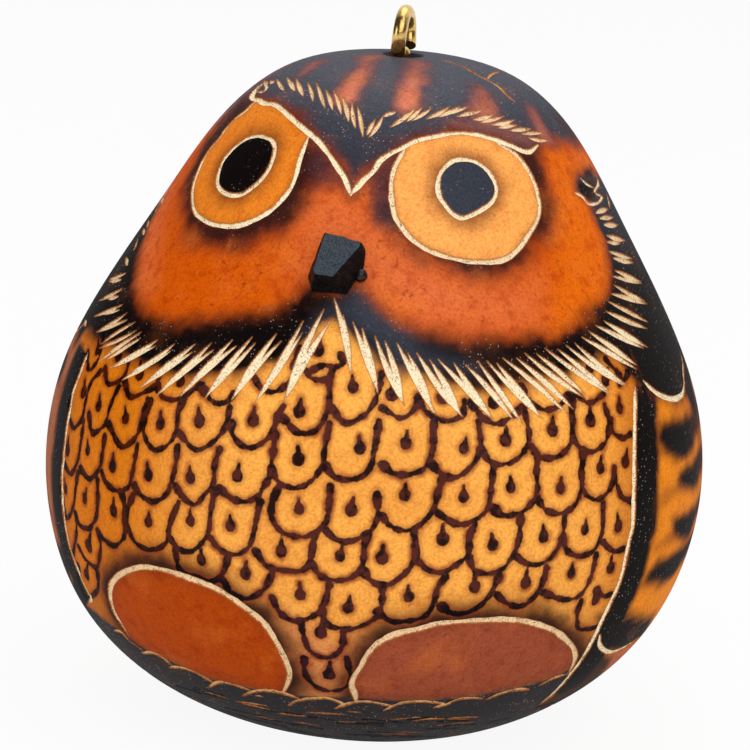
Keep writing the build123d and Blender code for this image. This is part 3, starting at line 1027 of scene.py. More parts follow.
# On the skin: the dye's colour with the painted shade and sheen in it, how charred it is and how blotchy the
# dye took
dyeWithPaintedLight = np.tile(plain(*stainsAndPaintedLight["bareRind"]), (len(skin), 1))
char = np.zeros(len(skin))
blotch = np.full(len(skin), 0.35)


# Paints a colour over the share, for dye and char and also for painted shade and sheen
def stainOrPaintLight(share, name, strength=1.0, burnt=None, mottled=None):
    share = share * strength
    dyeWithPaintedLight[:] = dyeWithPaintedLight + (plain(*stainsAndPaintedLight[name]) - dyeWithPaintedLight) * share[:, None]
    if burnt is not None:
        char[:] = char + (burnt - char) * share
    if mottled is not None:
        blotch[:] = blotch + (mottled - blotch) * share


areas = {
    "charEdge": [
        (72, 318), (85, 330), (100, 337), (118, 349), (140, 362), (165, 372), (190, 376), (215, 373),
        (240, 371), (262, 365), (280, 357), (298, 345), (312, 333), (322, 322), (334, 314), (346, 325),
        (358, 343), (372, 355), (390, 366), (412, 374), (440, 381), (470, 386), (500, 386), (530, 380),
        (560, 373), (590, 362), (612, 352), (630, 349), (636, 360), (638.5, 382), (645, 384), (652, 389),
        (663, 396.5), (676, 399), (687, 395),
    ],
    "cheeks": [
        (170, 188), (163, 200), (155, 215), (148, 230), (143, 245), (139, 260), (136, 276), (140, 300),
        (150, 313), (175, 319), (199, 320), (240, 313), (265, 309), (280, 305), (296, 295), (308, 283),
        (335, 287), (358, 281), (369, 294), (379, 306), (395, 319), (420, 328), (440, 333), (470, 337),
        (500, 338), (525, 336), (549, 332), (569, 323), (582, 318), (592, 307), (603, 293), (606.6, 275),
        (606.6, 257), (603, 241), (595, 220), (587, 200), (575.5, 188), (575, 172), (590, 168), (602, 163),
        (597, 152), (582, 146), (543, 146), (520, 150), (497, 140), (462, 133), (429, 138), (401, 149),
        (380, 161), (363, 180), (351, 195), (336, 165), (318, 141), (296, 122), (274, 104), (256, 98),
        (243, 106), (225, 118), (207, 132), (188, 158),
    ],
    "leftHalo": [
        (185, 227), (193, 236), (210, 243), (232, 244), (255, 240), (276, 231), (295, 216), (308, 199),
        (318, 182), (325, 168), (323, 153), (307, 133), (285, 112), (262, 101), (247, 98), (233, 110),
        (216, 126), (199, 152), (187, 180), (182, 205),
    ],
    "rightHalo": [
        (386, 228), (396, 239), (407, 247), (421, 255), (436, 262), (452, 269), (469, 274), (485, 273),
        (502, 269), (518, 262), (533, 253), (543, 240), (550, 222), (551, 202), (547, 180), (541, 158),
        (537, 146), (520, 149), (497, 139), (462, 131), (429, 137), (401, 149), (390, 162), (381, 178),
        (377, 195), (378, 213),
    ],
    "leftMauve": [
        (366, 178), (382, 158), (396, 156), (390, 180), (391, 200), (399, 226), (386, 234), (372, 219),
        (368, 198),
    ],
    "topMauve": [(450, 122), (480, 120), (520, 128), (540, 140), (530, 148), (500, 136), (462, 129)],
    "betweenFeet": [(262, 600), (340, 640), (392, 622), (372, 650), (352, 700), (290, 700), (284, 650)],
    "capFill": [
        (626, 346), (632.5, 362), (636.5, 391), (645, 391), (651.7, 388.4), (663.4, 396.2), (676.4, 398.8),
        (684, 395), (690, 380), (686, 350),
    ],
    "tipWedge": [
        (590, 640), (600, 652), (612, 658), (603, 684), (580, 702), (544, 718), (538, 706), (556, 694),
        (578, 668),
    ],
    "tipFill": [
        (597, 616), (612, 612), (632, 613), (648, 616), (655, 613), (645, 637), (631, 644.5), (620.5, 650.5),
        (610, 653), (603.6, 650), (600.4, 646),
    ],
    "belowTip": [
        (610, 654), (621, 651), (632, 646), (645, 637), (655, 616), (640, 655), (624, 670), (606, 684),
    ],
    "belowBeak": [
        (350, 292), (362, 292), (376, 308), (392, 324), (410, 336), (390, 340), (370, 328), (356, 312),
    ],
    "leftOfBeak": [(313, 140), (327, 152), (340, 172), (344, 184), (334, 188), (318, 188), (312, 170)],
    "crownEdge": [(552, 94), (572, 112), (592, 136), (604, 152), (594, 158), (574, 142), (558, 122)],
    "chin": [(300, 335), (335, 300), (370, 300), (430, 350), (480, 370), (400, 372), (335, 312)],
    "cheekMiddle": [
        (300, 190), (350, 190), (400, 250), (470, 285), (540, 280), (545, 330), (430, 330), (370, 290),
        (300, 280),
    ],
    "cheekFarLeft": [(120, 200), (170, 190), (160, 240), (150, 290), (120, 300)],
    "cheekRight": [(543, 146), (604, 146), (614, 200), (620, 330), (550, 335), (560, 260)],
    "markFill": [(577, 181), (594, 181), (596, 192), (590, 200), (579, 198)],
    "markTop": [(584, 168), (592, 168), (592, 177), (584, 177)],
}

# The crown's salmon wedges, foot then top, with the width at each
crownWedges = [
    ((346, 98), (368, 57), 1.8, 2.0),
    ((406, 105), (418, 62), 2.6, 2.0),
    ((302, 75), (315, 62), 1.1, 1.4),
    ((482, 110), (482, 88), 3.6, 0.7),
    ((544, 135), (533, 112), 2.8, 1.6),
    ((266, 77), (288, 65), 0.9, 0.9),
]

# Those round the back, which the photo doesn't show: bearings, rises and half widths
rearWedges = {
    "bearings": (138, 292, 24),
    "footWander": (-4, 4),
    "footRises": (42, 50),
    "topShift": 2,
    "topRises": (62, 70),
    "footHalves": (0.9, 1.6),
    "topHalf": 0.5,
}


def area(name, fade, wander=0.5, sign=1):
    # An area read from the photo, or its mirror image when the sign is -1
    return insideOf(onSkin(areas[name]) * (sign, 1, 1), fade, wander)


def dyeTheBodyAndPaintShade():
    stainOrPaintLight(np.ones(len(skin)), "breastRight")
    # Painted shade: the breast darker and more saturated round the sides and back, away from the lit front
    stainOrPaintLight(ramp(skinBearing, start=-10, full=-38), "breastShadedSides")
    stainOrPaintLight(ramp(skinBearing, start=46, full=66), "breastShadedSides", strength=0.8)
    stainOrPaintLight(ramp(skinRise, start=18, full=-52), "betweenLines", strength=0.25)
    stainOrPaintLight(area("betweenFeet", fade=4.0), "betweenFeet", strength=0.8)
    stainOrPaintLight(soften(drift * 1.6 + 0.2), "betweenLines", strength=0.2)
    for line in (rightWingLine, leftWingLine):
        stainOrPaintLight(alongLine(line, width=3.0, fade=5.0), "besideWings", strength=0.40)


def dyeTheWingAndPaintShade(sign, line, ground):
    # The owl's left wing for the sign 1, and its mirror image for -1
    def side(spots):
        return spots * (sign, 1, 1)

    rear = side(rearWingLine)
    field = np.vstack([line, rear[::-1]])
    whole = insideOf(field, fade=0.6, wander=0.0)
    inner = insideOf(field, fade=1.2)
    stainOrPaintLight(whole, ground, mottled=0.3)
    bars = []
    for number, blot in enumerate(wings["blots"]):
        outline = side(skinLine(closed(blot), step=3.0))
        bearing, rise = (values.mean() for values in bearingRise(onSkin(blot)))
        far = wings["barEnd"] - wings["barEndStep"] * number
        bar = side(rearLine([(bearing + 4, rise), ((bearing + far) / 2, rise + 1), (far, rise)], step=1.5))
        link = side(rearLine([(bearing - 12, rise - 1.5), (bearing, rise)], step=1.5))
        broad = wings["barWidth"] if number else wings["firstBarWidth"]
        bars.append((outline, bar, broad))
        stainOrPaintLight(alongLine(link, wings["linkWidth"], fade=2.0, wander=0.5) * inner, "brownEdge", strength=0.55)
        stainOrPaintLight(insideOf(outline, fade=2.8, wander=0.7) * inner, "brownEdge", strength=0.9)
        stainOrPaintLight(alongLine(bar, broad, fade=2.4, wander=0.6) * inner, "brownEdge", strength=0.9)
    for outline, bar, broad in bars:
        stainOrPaintLight(insideOf(outline, fade=1.5, wander=0.4) * inner, "charcoal", burnt=0.8, mottled=0.0)
        charred = alongLine(bar, width=broad * wings["charredShare"], fade=1.4, wander=0.6)
        stainOrPaintLight(charred * inner, "charcoal", burnt=0.8, mottled=0.0)
    # Painted shade: the wing browner round towards the side of the gourd
    shadedSide = ramp(sign * skinBearing, start=82, full=94) * ramp(sign * skinBearing, start=116, full=106)
    stainOrPaintLight(inner * shadedSide, "brownEdge", strength=0.3)
    outward = skinPoints(np.stack(bearingRise(side(line)), axis=1) + (wings["bandShift"], 0))
    outward = side(outward[outward[:, 2] > wings["bandFoot"]])
    stainOrPaintLight(alongLine(outward, wings["bandEdgeWidth"], fade=1.8) * whole, "brownEdge")
    stainOrPaintLight(alongLine(outward, wings["bandWidth"], fade=0.8) * whole, "charcoal", burnt=1.0, mottled=0.0)
    inward = side(skinPoints(np.stack(bearingRise(side(rear)), axis=1) + (wings["rearBandShift"], 0)))
    stainOrPaintLight(alongLine(inward, wings["rearBandWidth"], fade=1.2) * whole, "charcoal", burnt=1.0)
    stainOrPaintLight(area("capFill", fade=0.7, wander=0.1, sign=sign), "charcoal", burnt=1.0)
    stainOrPaintLight(area("belowTip", fade=2.4, wander=0.3, sign=sign), "underWing")
    stainOrPaintLight(area("tipWedge", fade=1.2, wander=0.1, sign=sign), "charcoal", strength=0.95, burnt=0.8)
    stainOrPaintLight(area("tipFill", fade=1.8, wander=0.1, sign=sign), "charcoal", burnt=0.8)


def dyeTheHeadAndPaintSheen():
    nape = [(bearing, back["napeRise"]) for bearing in range(100, 262, 9)]
    right, left = [(92, 4), (96, 9)], [(264, 10), (272, 13), (284, 13), (291, 11)]
    edge = np.vstack([onSkin(areas["charEdge"]), skinPoints(right + nape + left)])
    head = aboveEdge(edge, fade=1.3, wander=0.6)
    stainOrPaintLight(aboveEdge(edge - (0, 0, 0.8), fade=2.4, wander=0.8), "brownEdge", strength=0.75)
    stainOrPaintLight(head, "charcoal", burnt=1.0, mottled=0.15)
    # Painted sheen: the char turns slate-grey higher up the head and lighter still on the crown
    stainOrPaintLight(ramp(skinRise, start=30, full=56) * head, "charWithSheen", strength=0.9, mottled=0.15)
    stainOrPaintLight(ramp(skinRise, start=56, full=78) * head, "crownSlate", strength=0.75)
    stainOrPaintLight(area("crownEdge", fade=2.6), "crownBrown", strength=0.7)
    # Painted sheen on the char of the chin
    stainOrPaintLight(area("chin", fade=3.0), "charWithSheen", strength=0.8)
    for foot, top, footWidth, topWidth in crownWedges:
        line = skinLine([foot, top], step=4.0)
        dyeWedge(line, np.linspace(footWidth, topWidth, len(line)) / 2)
    for bearing in range(*rearWedges["bearings"]):
        foot, top = dice.uniform(*rearWedges["footRises"]), dice.uniform(*rearWedges["topRises"])
        start = (bearing + dice.uniform(*rearWedges["footWander"]), foot)
        line = rearLine([start, (bearing + rearWedges["topShift"], top)], step=2.0)
        dyeWedge(line, np.linspace(dice.uniform(*rearWedges["footHalves"]), rearWedges["topHalf"], len(line)))


def dyeWedge(line, half):
    # Thin red dye, mauve where it runs into the char and towards its top
    near = closeTo(skin, line, 5)
    away = np.full(len(skin), meshing["farAway"])
    away[near] = lineDistance(skin[near], line, half) + sway[near] * 0.6
    stainOrPaintLight(soften(0.5 - (away - 0.3) / 2.2), "salmonEdge", strength=0.8, burnt=0.4, mottled=0.6)
    fade = soften((skinRise - bearingRise(line[-1:])[1]) / -20 + 0.1)
    stainOrPaintLight(soften(0.5 - (away + 0.25) / 1.7) * (0.25 + 0.75 * fade), "salmon", strength=0.95, burnt=0.1)


def dyeTheFaceAndPaintLight():
    outline = skinLine(closed(areas["cheeks"]), step=5.0)
    cheeks = insideOf(outline, fade=2.4, wander=0.8)
    stainOrPaintLight(insideOf(outline, fade=4.4, wander=0.8), "brownEdge", strength=0.75)
    stainOrPaintLight(cheeks, "cheek", burnt=0.0, mottled=1.0)
    stainOrPaintLight(area("cheekMiddle", fade=8.0) * cheeks, "cheekSalmon", strength=0.85)
    stainOrPaintLight(area("cheekFarLeft", fade=5.0) * cheeks, "cheekSalmon", strength=0.7)
    stainOrPaintLight(area("cheekRight", fade=5.0) * cheeks, "cheekOrange", strength=0.9)
    stainOrPaintLight(cheeks * (1 - insideOf(outline, fade=3.0, wander=0.45)), "brownEdge", strength=0.6)
    for name, strength in (("leftBrow", 0.45), ("rightBrow", 0.2)):
        brow = alongLine(skinLine(face[name], step=4.0), width=0.5, fade=2.2, wander=0.5)
        stainOrPaintLight(brow, "brownEdge", strength, burnt=0.5)
    for name in ("leftHalo", "rightHalo"):
        halo = skinLine(closed(areas[name]), step=5.0)
        stainOrPaintLight(insideOf(halo, fade=5.0, wander=0.9), "haloEdge", strength=0.85, mottled=1.0)
        stainOrPaintLight(insideOf(halo, fade=3.0, wander=0.9), "haloMiddle", strength=0.92, burnt=0.8, mottled=0.6)
    stainOrPaintLight(area("leftMauve", fade=1.8), "mauve", strength=0.8, burnt=0.5)
    stainOrPaintLight(area("leftOfBeak", fade=2.4), "mauve", strength=0.75, burnt=0.4)
    stainOrPaintLight(area("topMauve", fade=1.8), "browFringe", strength=0.4, burnt=0.3)
    # Painted sheen on the char below the beak
    stainOrPaintLight(area("belowBeak", fade=1.8), "charWithSheen", strength=0.8, burnt=0.8)
    # The left iris painted in shade, the right one painted lit, with painted sheen on its pupil's char
    dyeTheEyeAndPaintLight("left", face["leftBrow"][4:10], "irisInShade", "charcoal")
    dyeTheEyeAndPaintLight("right", face["rightBrow"][7:17], "irisInLight", "charWithSheen")
    for name in ("markFill", "markTop"):
        stainOrPaintLight(area(name, fade=0.8), "charcoal", burnt=1.0)


def dyeTheEyeAndPaintLight(side, brow, iris, pupil):
    # The ring is open above, where a part of the brow closes it
    ring = face[side + "Ring"] + brow[::-1]
    disc = insideOf(onSkin(ring), fade=0.5, wander=0.0)
    stainOrPaintLight(disc, iris, burnt=0.0, mottled=0.45)
    stainOrPaintLight(alongLine(skinLine(ring, step=4.0), width=0.6, fade=1.4) * disc, "irisHalo", strength=0.5)
    outline = skinLine(closed(face[side + "Pupil"]), step=4.0)
    stainOrPaintLight(alongLine(outline, width=1.4, fade=3.2, wander=0.5) * disc, "irisHalo", strength=0.95)
    stainOrPaintLight(insideOf(outline, fade=0.3, wander=0.0), pupil, burnt=1.0, mottled=0.2)


def dyeTheFeet():
    for name, colour, closing in (("left", "footLeft", base["edge"][2:8]),
                                  ("right", "footRight", base["edge"][8:14])):
        outline = skinLine(feet[name], step=4.0)
        stainOrPaintLight(alongLine(outline, width=4.2, fade=5.0, wander=0.6), "brownEdge", strength=0.85, mottled=0.5)
        stainOrPaintLight(alongLine(outline, width=2.8, fade=2.8, wander=0.7), "footHalo", strength=0.95, mottled=0.5)
        fill = insideOf(onSkin(feet[name] + closing[::-1]), fade=0.5, wander=0.0)
        stainOrPaintLight(fill, colour, burnt=0.0, mottled=0.7)
        stainOrPaintLight(fill * alongLine(outline, width=1.5, fade=2.6), "brownEdge", strength=0.35)


def dyeTheBase():
    rear = [(bearing, base["rearRise"]) for bearing in range(66, 290, 8)]
    edge = np.vstack([onSkin(base["edge"]), skinPoints(rear)])
    stainOrPaintLight(1 - aboveEdge(edge + (0, 0, 0.9), fade=2.5), "footHalo", strength=0.35)
    stainOrPaintLight(1 - aboveEdge(edge, fade=0.5, wander=0.0), "base", burnt=1.0, mottled=0.1)


dyeTheBodyAndPaintShade()
dyeTheFeet()
dyeTheBase()
dyeTheWingAndPaintShade(1, rightWingLine, "wingOrange")
# The far wing's orange has painted shade and painted sheen in it
dyeTheWingAndPaintShade(-1, leftWingLine, "farWingShadeAndSheen")
dyeTheHeadAndPaintSheen()
dyeTheFaceAndPaintLight()
print("dyedWithPaintedLight")


def finishSkin():
    # Grooves and scorched lines are real depth; the rind is a little uneven too
    groove = soften(0.5 - paleDistance / gourd["paleSlope"]) * gourd["paleDepth"] * (0.9 + 0.5 * ripple)
    scorch = soften(0.5 - burntDistance / gourd["burntSlope"]) * gourd["burntDepth"]
    sink = np.maximum(groove, scorch) + gourd["dents"] * (0.5 + 0.5 * drift)
    aim = skin - hub
    spotsAll[outer] = skin - aim / np.linalg.norm(aim, axis=1)[:, None] * sink[:, None]
    spotsAll[:, 2] = np.maximum(spotsAll[:, 2], 0)
    skinMesh.vertices.foreach_set("co", (spotsAll * mm).ravel())
    skinMesh.polygons.foreach_set("use_smooth", np.ones(len(skinMesh.polygons), bool))
    colours = np.tile(np.append(plain(*stainsAndPaintedLight["cavity"]), 1.0), (len(spotsAll), 1))
    colours[spotsAll[:, 2] > gourd["height"] - 2, :3] = plain(*stainsAndPaintedLight["eyeHollow"])
    colours[outer, :3] = dyeWithPaintedLight
    setAttribute("dyeWithPaintedLight", "FLOAT_COLOR", "color", colours)
    farthest = meshing["drawnReach"]
    fields = {"paleDistance": (paleDistance, farthest), "burntDistance": (burntDistance, farthest),
              "char": (char, 0.0), "blotch": (blotch, 0.2), "toasted": (toasted, 0.0)}
    for name, (values, elsewhere) in fields.items():
        whole = np.full(len(spotsAll), elsewhere)
        whole[outer] = values
        setAttribute(name, "FLOAT", "value", whole)
    skinMesh.update()


def setAttribute(name, kind, key, values):
    skinMesh.attributes.new(name, kind, "POINT").data.foreach_set(key, values.ravel())


# Where the skin's parts lie on the OFBake UV sheet, as shares of it
sheet = {
    "left": 0.02,
    "width": 0.86,
    "height": 0.47,
    "frontFoot": 0.51,
    "rearFoot": 0.01,
    "cavityLeft": 0.90,
    "cavityWidth": 0.08,
}


def unwrapSkin():
    # Front half over rear half, with the cavity's side in a strip beside them
    corner = readAll(skinMesh.loops, "vertex_index", kind=int)
    sizes = readAll(skinMesh.polygons, "loop_total", kind=int)
    owner = np.repeat(np.arange(len(sizes)), sizes)
    bearing, rise = bearingRise(spotsAll)
    spread = np.stack([np.sin(np.radians(bearing)), np.cos(np.radians(bearing))], axis=1)[corner]
    middle = np.zeros((len(sizes), 2))
    np.add.at(middle, owner, spread)
    middle = np.degrees(np.arctan2(middle[:, 0], middle[:, 1]))[owner]
    own = middle + (bearing[corner] - middle + 180) % 360 - 180
    front = np.abs(middle) <= 90
    outside = np.zeros(len(spotsAll), bool)
    outside[outer] = True
    onOutside = np.ones(len(sizes), bool)
    np.logical_and.at(onOutside, owner, outside[corner])
    onOutside = onOutside[owner]
    turned = np.where(front, own, (own % 360) - 180)
    u = sheet["left"] + (turned + 90) / 180 * sheet["width"]
    v = (rise[corner] + 90) / 180 * sheet["height"] + np.where(front, sheet["frontFoot"], sheet["rearFoot"])
    u = np.where(onOutside, u, sheet["cavityLeft"] + (turned + 90) / 180 * sheet["cavityWidth"])
    layer = skinMesh.uv_layers.new(name="OFBake")
    layer.data.foreach_set("uv", np.clip(np.stack([u, v], axis=1), 0, 1).ravel())


def addPiece(work, name, node, body):
    piece = addObject(name, meshFrom(work, name))
    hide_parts(node)
    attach(piece, body)
    return piece


def skinSegment(name, first, last):
    # One mesh of all the carving would be too heavy, so the skin is in closed segments that meet exactly
    work = bmesh.new()
    work.from_mesh(skinMesh)
    middle = np.array([face.calc_center_median()[:2] for face in work.faces])
    bearing = np.degrees(np.arctan2(middle[:, 0], -middle[:, 1]))
    other = (bearing - first) % 360 >= last - first
    bmesh.ops.delete(work, geom=[face for face, gone in zip(work.faces, other) if gone], context="FACES")
    floor = sorted((v for v in work.verts if math.hypot(v.co.x, v.co.y) < 0.01 * mm), key=lambda v: v.co.z)
    work.edges.new((floor[0], floor[-1]))
    rim = [edge for edge in work.edges if len(edge.link_faces) < 2]
    for end in (first, last):
        along = (math.sin(math.radians(end)), -math.cos(math.radians(end)))

        def onWall(v):
            ahead = v.co.x * along[0] + v.co.y * along[1]
            return ahead > -0.001 * mm and abs(v.co.x * along[1] - v.co.y * along[0]) < 0.01 * mm

        wall = [edge for edge in rim if all(onWall(v) for v in edge.verts)]
        bmesh.ops.triangle_fill(work, use_beauty=False, use_dissolve=False, edges=wall)
    bmesh.ops.recalc_face_normals(work, faces=work.faces)
    segment = addPiece(work, name, "gourd_shell", "gourd")
    facing = readAll(segment.data.attributes["wholeNormal"].data, "vector", 3, np.float32)
    segment.data.normals_split_custom_set_from_vertices(facing)
    print(name, sum(len(p.vertices) - 2 for p in segment.data.polygons), "triangles")
    return segment


finishSkin()
unwrapSkin()
setAttribute("wholeNormal", "FLOAT_VECTOR", "vector", readAll(skinMesh.vertices, "normal", 3, np.float32))
skinPieces = [skinSegment(*segment) for segment in gourd["segments"]]


class Wiring:
    # Short ways to add nodes to a tree and join them
    def __init__(self, tree):
        self.tree = tree

    def node(self, kind, **settings):
        made = self.tree.nodes.new(kind)
        for name, value in settings.items():
            setattr(made, name, value)
        return made

    def feed(self, socket, value):
        if isinstance(value, bpy.types.NodeSocket):
            self.tree.links.new(value, socket)
        else:
            socket.default_value = value

    def math(self, kind, first, second=0.0):
        made = self.node("ShaderNodeMath", operation=kind)
        self.feed(made.inputs[0], first)
        self.feed(made.inputs[1], second)
        return made.outputs[0]

    def times(self, first, *others):
        for other in others:
            first = self.math("MULTIPLY", first, other)
        return first

    def plus(self, first, *others):
        for other in others:
            first = self.math("ADD", first, other)
        return first

    def scaled(self, value, low, high, toLow=0.0, toHigh=1.0):
        made = self.node("ShaderNodeMapRange", interpolation_type="SMOOTHSTEP")
        self.feed(made.inputs["Value"], value)
        for socket, amount in zip(("From Min", "From Max", "To Min", "To Max"), (low, high, toLow, toHigh)):
            made.inputs[socket].default_value = amount
        return made.outputs["Result"]

    def blend(self, share, first, second, **settings):
        made = self.node("ShaderNodeMix", **settings)
        for socket, value in zip(("Factor", "A", "B"), (share, first, second)):
            self.feed(made.inputs[socket], value)
        return made.outputs["Result"]


class Finish(Wiring):
    # A material on the object's own coordinates, in millimetres; colours are as seen, 0 to 255
    def __init__(self, name):
        self.material = bpy.data.materials.new(name)
        self.material.use_nodes = True
        super().__init__(self.material.node_tree)
        self.shader = self.tree.nodes["Principled BSDF"]
        metres = self.node("ShaderNodeTexCoord").outputs["Object"]
        self.place = self.stretched(metres, (1 / mm, 1 / mm, 1 / mm))

    def stretched(self, place, scale):
        made = self.node("ShaderNodeMapping")
        made.inputs["Scale"].default_value = scale
        self.feed(made.inputs["Vector"], place)
        return made.outputs["Vector"]

    def grain(self, size, detail=3.0, rough=0.55, squash=None):
        made = self.node("ShaderNodeTexNoise")
        made.inputs["Scale"].default_value = 1 / size
        made.inputs["Detail"].default_value = detail
        made.inputs["Roughness"].default_value = rough
        self.feed(made.inputs["Vector"], self.stretched(self.place, squash) if squash else self.place)
        return made.outputs["Fac"]

    def mix(self, share, first, second, kind="MIX"):
        first, second = [(*plain(*colour), 1) if isinstance(colour, tuple) else colour
                         for colour in (first, second)]
        return self.blend(share, first, second, data_type="RGBA", blend_type=kind)

    def attribute(self, name, output="Fac"):
        return self.node("ShaderNodeAttribute", attribute_name=name).outputs[output]

    def shade(self, name, value):
        self.feed(self.shader.inputs[name], value)

    def bump(self, height, depth, strength):
        made = self.node("ShaderNodeBump")
        made.inputs["Strength"].default_value = strength
        made.inputs["Distance"].default_value = depth * mm
        self.feed(made.inputs["Height"], height)
        self.shade("Normal", made.outputs["Normal"])

    def wear(self, *pieces):
        for piece in pieces:
            piece.data.materials.clear()
            piece.data.materials.append(self.material)


rind = {
    "broadGrain": 4.5,
    "midGrain": 1.3,
    "fineGrain": 0.28,
    "redCloud": (206, 150, 140),
    "redStain": (176, 110, 116),
    "thinDye": (238, 132, 50),
    "speckDark": (232, 214, 204),
    "speckLight": (255, 255, 255),
    "heatBrown": (140, 58, 26),
    "scorchLight": (84, 57, 110),
    "scorchDark": (36, 30, 66),
    "charcoal": (8, 7, 8),
    "paleSpeckSize": 0.24,
    "paleSpecks": (200, 190, 184),
    "cutEdge": (176, 104, 46),
    "flesh": (255, 248, 214),
    "toastedFlesh": (236, 178, 112),
    "fleshGrain": (200, 136, 88),
    "pit": (44, 22, 18),
    "coatWeight": 0.11,
    "coatRoughness": 0.30,
    "reliefDepth": 0.06,
    "reliefStrength": 0.5,
}


def skinFinish():
    finish = Finish("scorchedRindDyeAndPaintedLight")
    attribute, grain, scaled = finish.attribute, finish.grain, finish.scaled
    times, plus, mix = finish.times, finish.plus, finish.mix
    # The dye colour carries the painted shade and sheen too
    dyedWithPaintedLight = attribute("dyeWithPaintedLight", "Color")
    pale = attribute("paleDistance")
    burnt = attribute("burntDistance")
    charred = attribute("char")
    blotched = attribute("blotch")
    toast = attribute("toasted")
    broad = grain(rind["broadGrain"])
    mid = grain(rind["midGrain"], 4)
    fine = grain(rind["fineGrain"], 3, 0.65)

    # Dye takes unevenly: darker and redder clouds, paler where it is thin
    cloud = times(blotched, 0.6, scaled(mid, 0.46, 0.74))
    colour = mix(cloud, dyedWithPaintedLight, mix(1.0, dyedWithPaintedLight, rind["redCloud"], "MULTIPLY"))
    stained = times(scaled(grain(0.6, 3), 0.57, 0.72), scaled(broad, 0.42, 0.62))
    stained = times(stained, times(blotched, 0.8))
    colour = mix(stained, colour, mix(1.0, dyedWithPaintedLight, rind["redStain"], "MULTIPLY"))
    light = times(blotched, 0.30, scaled(broad, 0.50, 0.75))
    colour = mix(light, colour, rind["thinDye"])
    speckle = mix(scaled(fine, 0.30, 0.62), rind["speckDark"], rind["speckLight"])
    colour = mix(1.0, colour, speckle, "MULTIPLY")

    # Scorched lines with a brown edge where the heat spread
    wobble = times(plus(grain(0.42, 3, 0.55), -0.5), 0.28)
    rough = plus(burnt, wobble)
    heat = scaled(grain(2.4, 2), 0.42, 0.66, 0.35, 0.85)
    heat = times(heat, finish.math("SUBTRACT", 1.0, charred))
    colour = mix(times(scaled(rough, 0.55, 0.02), heat), colour, rind["heatBrown"])
    scorched = scaled(grain(1.1, 3), 0.44, 0.60)
    scorched = mix(scorched, rind["scorchLight"], rind["scorchDark"])
    scorched = mix(1.0, dyedWithPaintedLight, scorched, "MULTIPLY")
    scorched = mix(charred, scorched, rind["charcoal"])
    colour = mix(scaled(rough, 0.08, -0.08), colour, scorched)

    # Fine pale specks in the charred ground
    paleSpecks = finish.node("ShaderNodeTexVoronoi")
    paleSpecks.inputs["Scale"].default_value = 1 / rind["paleSpeckSize"]
    finish.feed(paleSpecks.inputs["Vector"], finish.place)
    near = scaled(paleSpecks.outputs["Distance"], 0.32, 0.14)
    split = finish.node("ShaderNodeSeparateColor")
    finish.feed(split.inputs["Color"], paleSpecks.outputs["Color"])
    rare = times(scaled(split.outputs["Red"], 0.72, 0.98), scaled(broad, 0.36, 0.62))
    speckAmount = plus(times(charred, 0.75), 0.12)
    colour = mix(times(near, rare, speckAmount), colour, rind["paleSpecks"])

    # Gouged lines down to the pale flesh, with a golden edge and dark specks
    ragged = times(plus(grain(0.26, 4, 0.7), -0.5), 0.20)
    edge = plus(pale, ragged)
    colour = mix(scaled(edge, 0.15, 0.02, 0.0, 0.75), colour, rind["cutEdge"])
    flesh = mix(toast, rind["flesh"], rind["toastedFlesh"])
    fibres = scaled(grain(0.17, 3), 0.50, 0.66, 0.0, 0.6)
    flesh = mix(fibres, flesh, rind["fleshGrain"])
    pits = plus(grain(0.2, 2, 0.7), times(toast, 0.06))
    pits = times(scaled(pits, 0.58, 0.68), scaled(grain(1.4, 2), 0.40, 0.58))
    flesh = mix(times(pits, 0.9), flesh, rind["pit"])
    cut = scaled(edge, 0.05, -0.05)
    finish.shade("Base Color", mix(cut, colour, flesh))

    # Satin varnish, drier in the cuts and a little rough where scorched
    sheen = scaled(mid, 0.3, 0.7, 0.30, 0.40)
    finish.shade("Roughness", plus(sheen, times(charred, 0.06), times(cut, 0.30)))
    finish.shade("Specular IOR Level", 0.0)
    finish.shade("Coat Weight", rind["coatWeight"])
    finish.shade("Coat Roughness", rind["coatRoughness"])
    relief = plus(times(mid, 0.5), times(fine, 0.35), times(cut, grain(0.16, 2), 1.2))
    finish.bump(relief, rind["reliefDepth"], rind["reliefStrength"])
    finish.wear(*skinPieces)


skinFinish()


beakShape = {
    "edge": 0.24,
    "edgeSteps": 3,
    "roughness": 0.12,
    "splits": 3,
    "longest": 0.35,
    "coarseGrain": 0.9,
    "fineGrain": 0.35,
    "crownAlike": (0.86, 0.98),    # how near a corner's normal is to the top facet's, from none to all, for its painted highlight
    "crownDark": (16, 20, 26),
    "crownLight": (72, 83, 94),
    "dark": (0, 0, 0),
    "light": (8, 9, 11),
    "worn": (110, 118, 126),
}


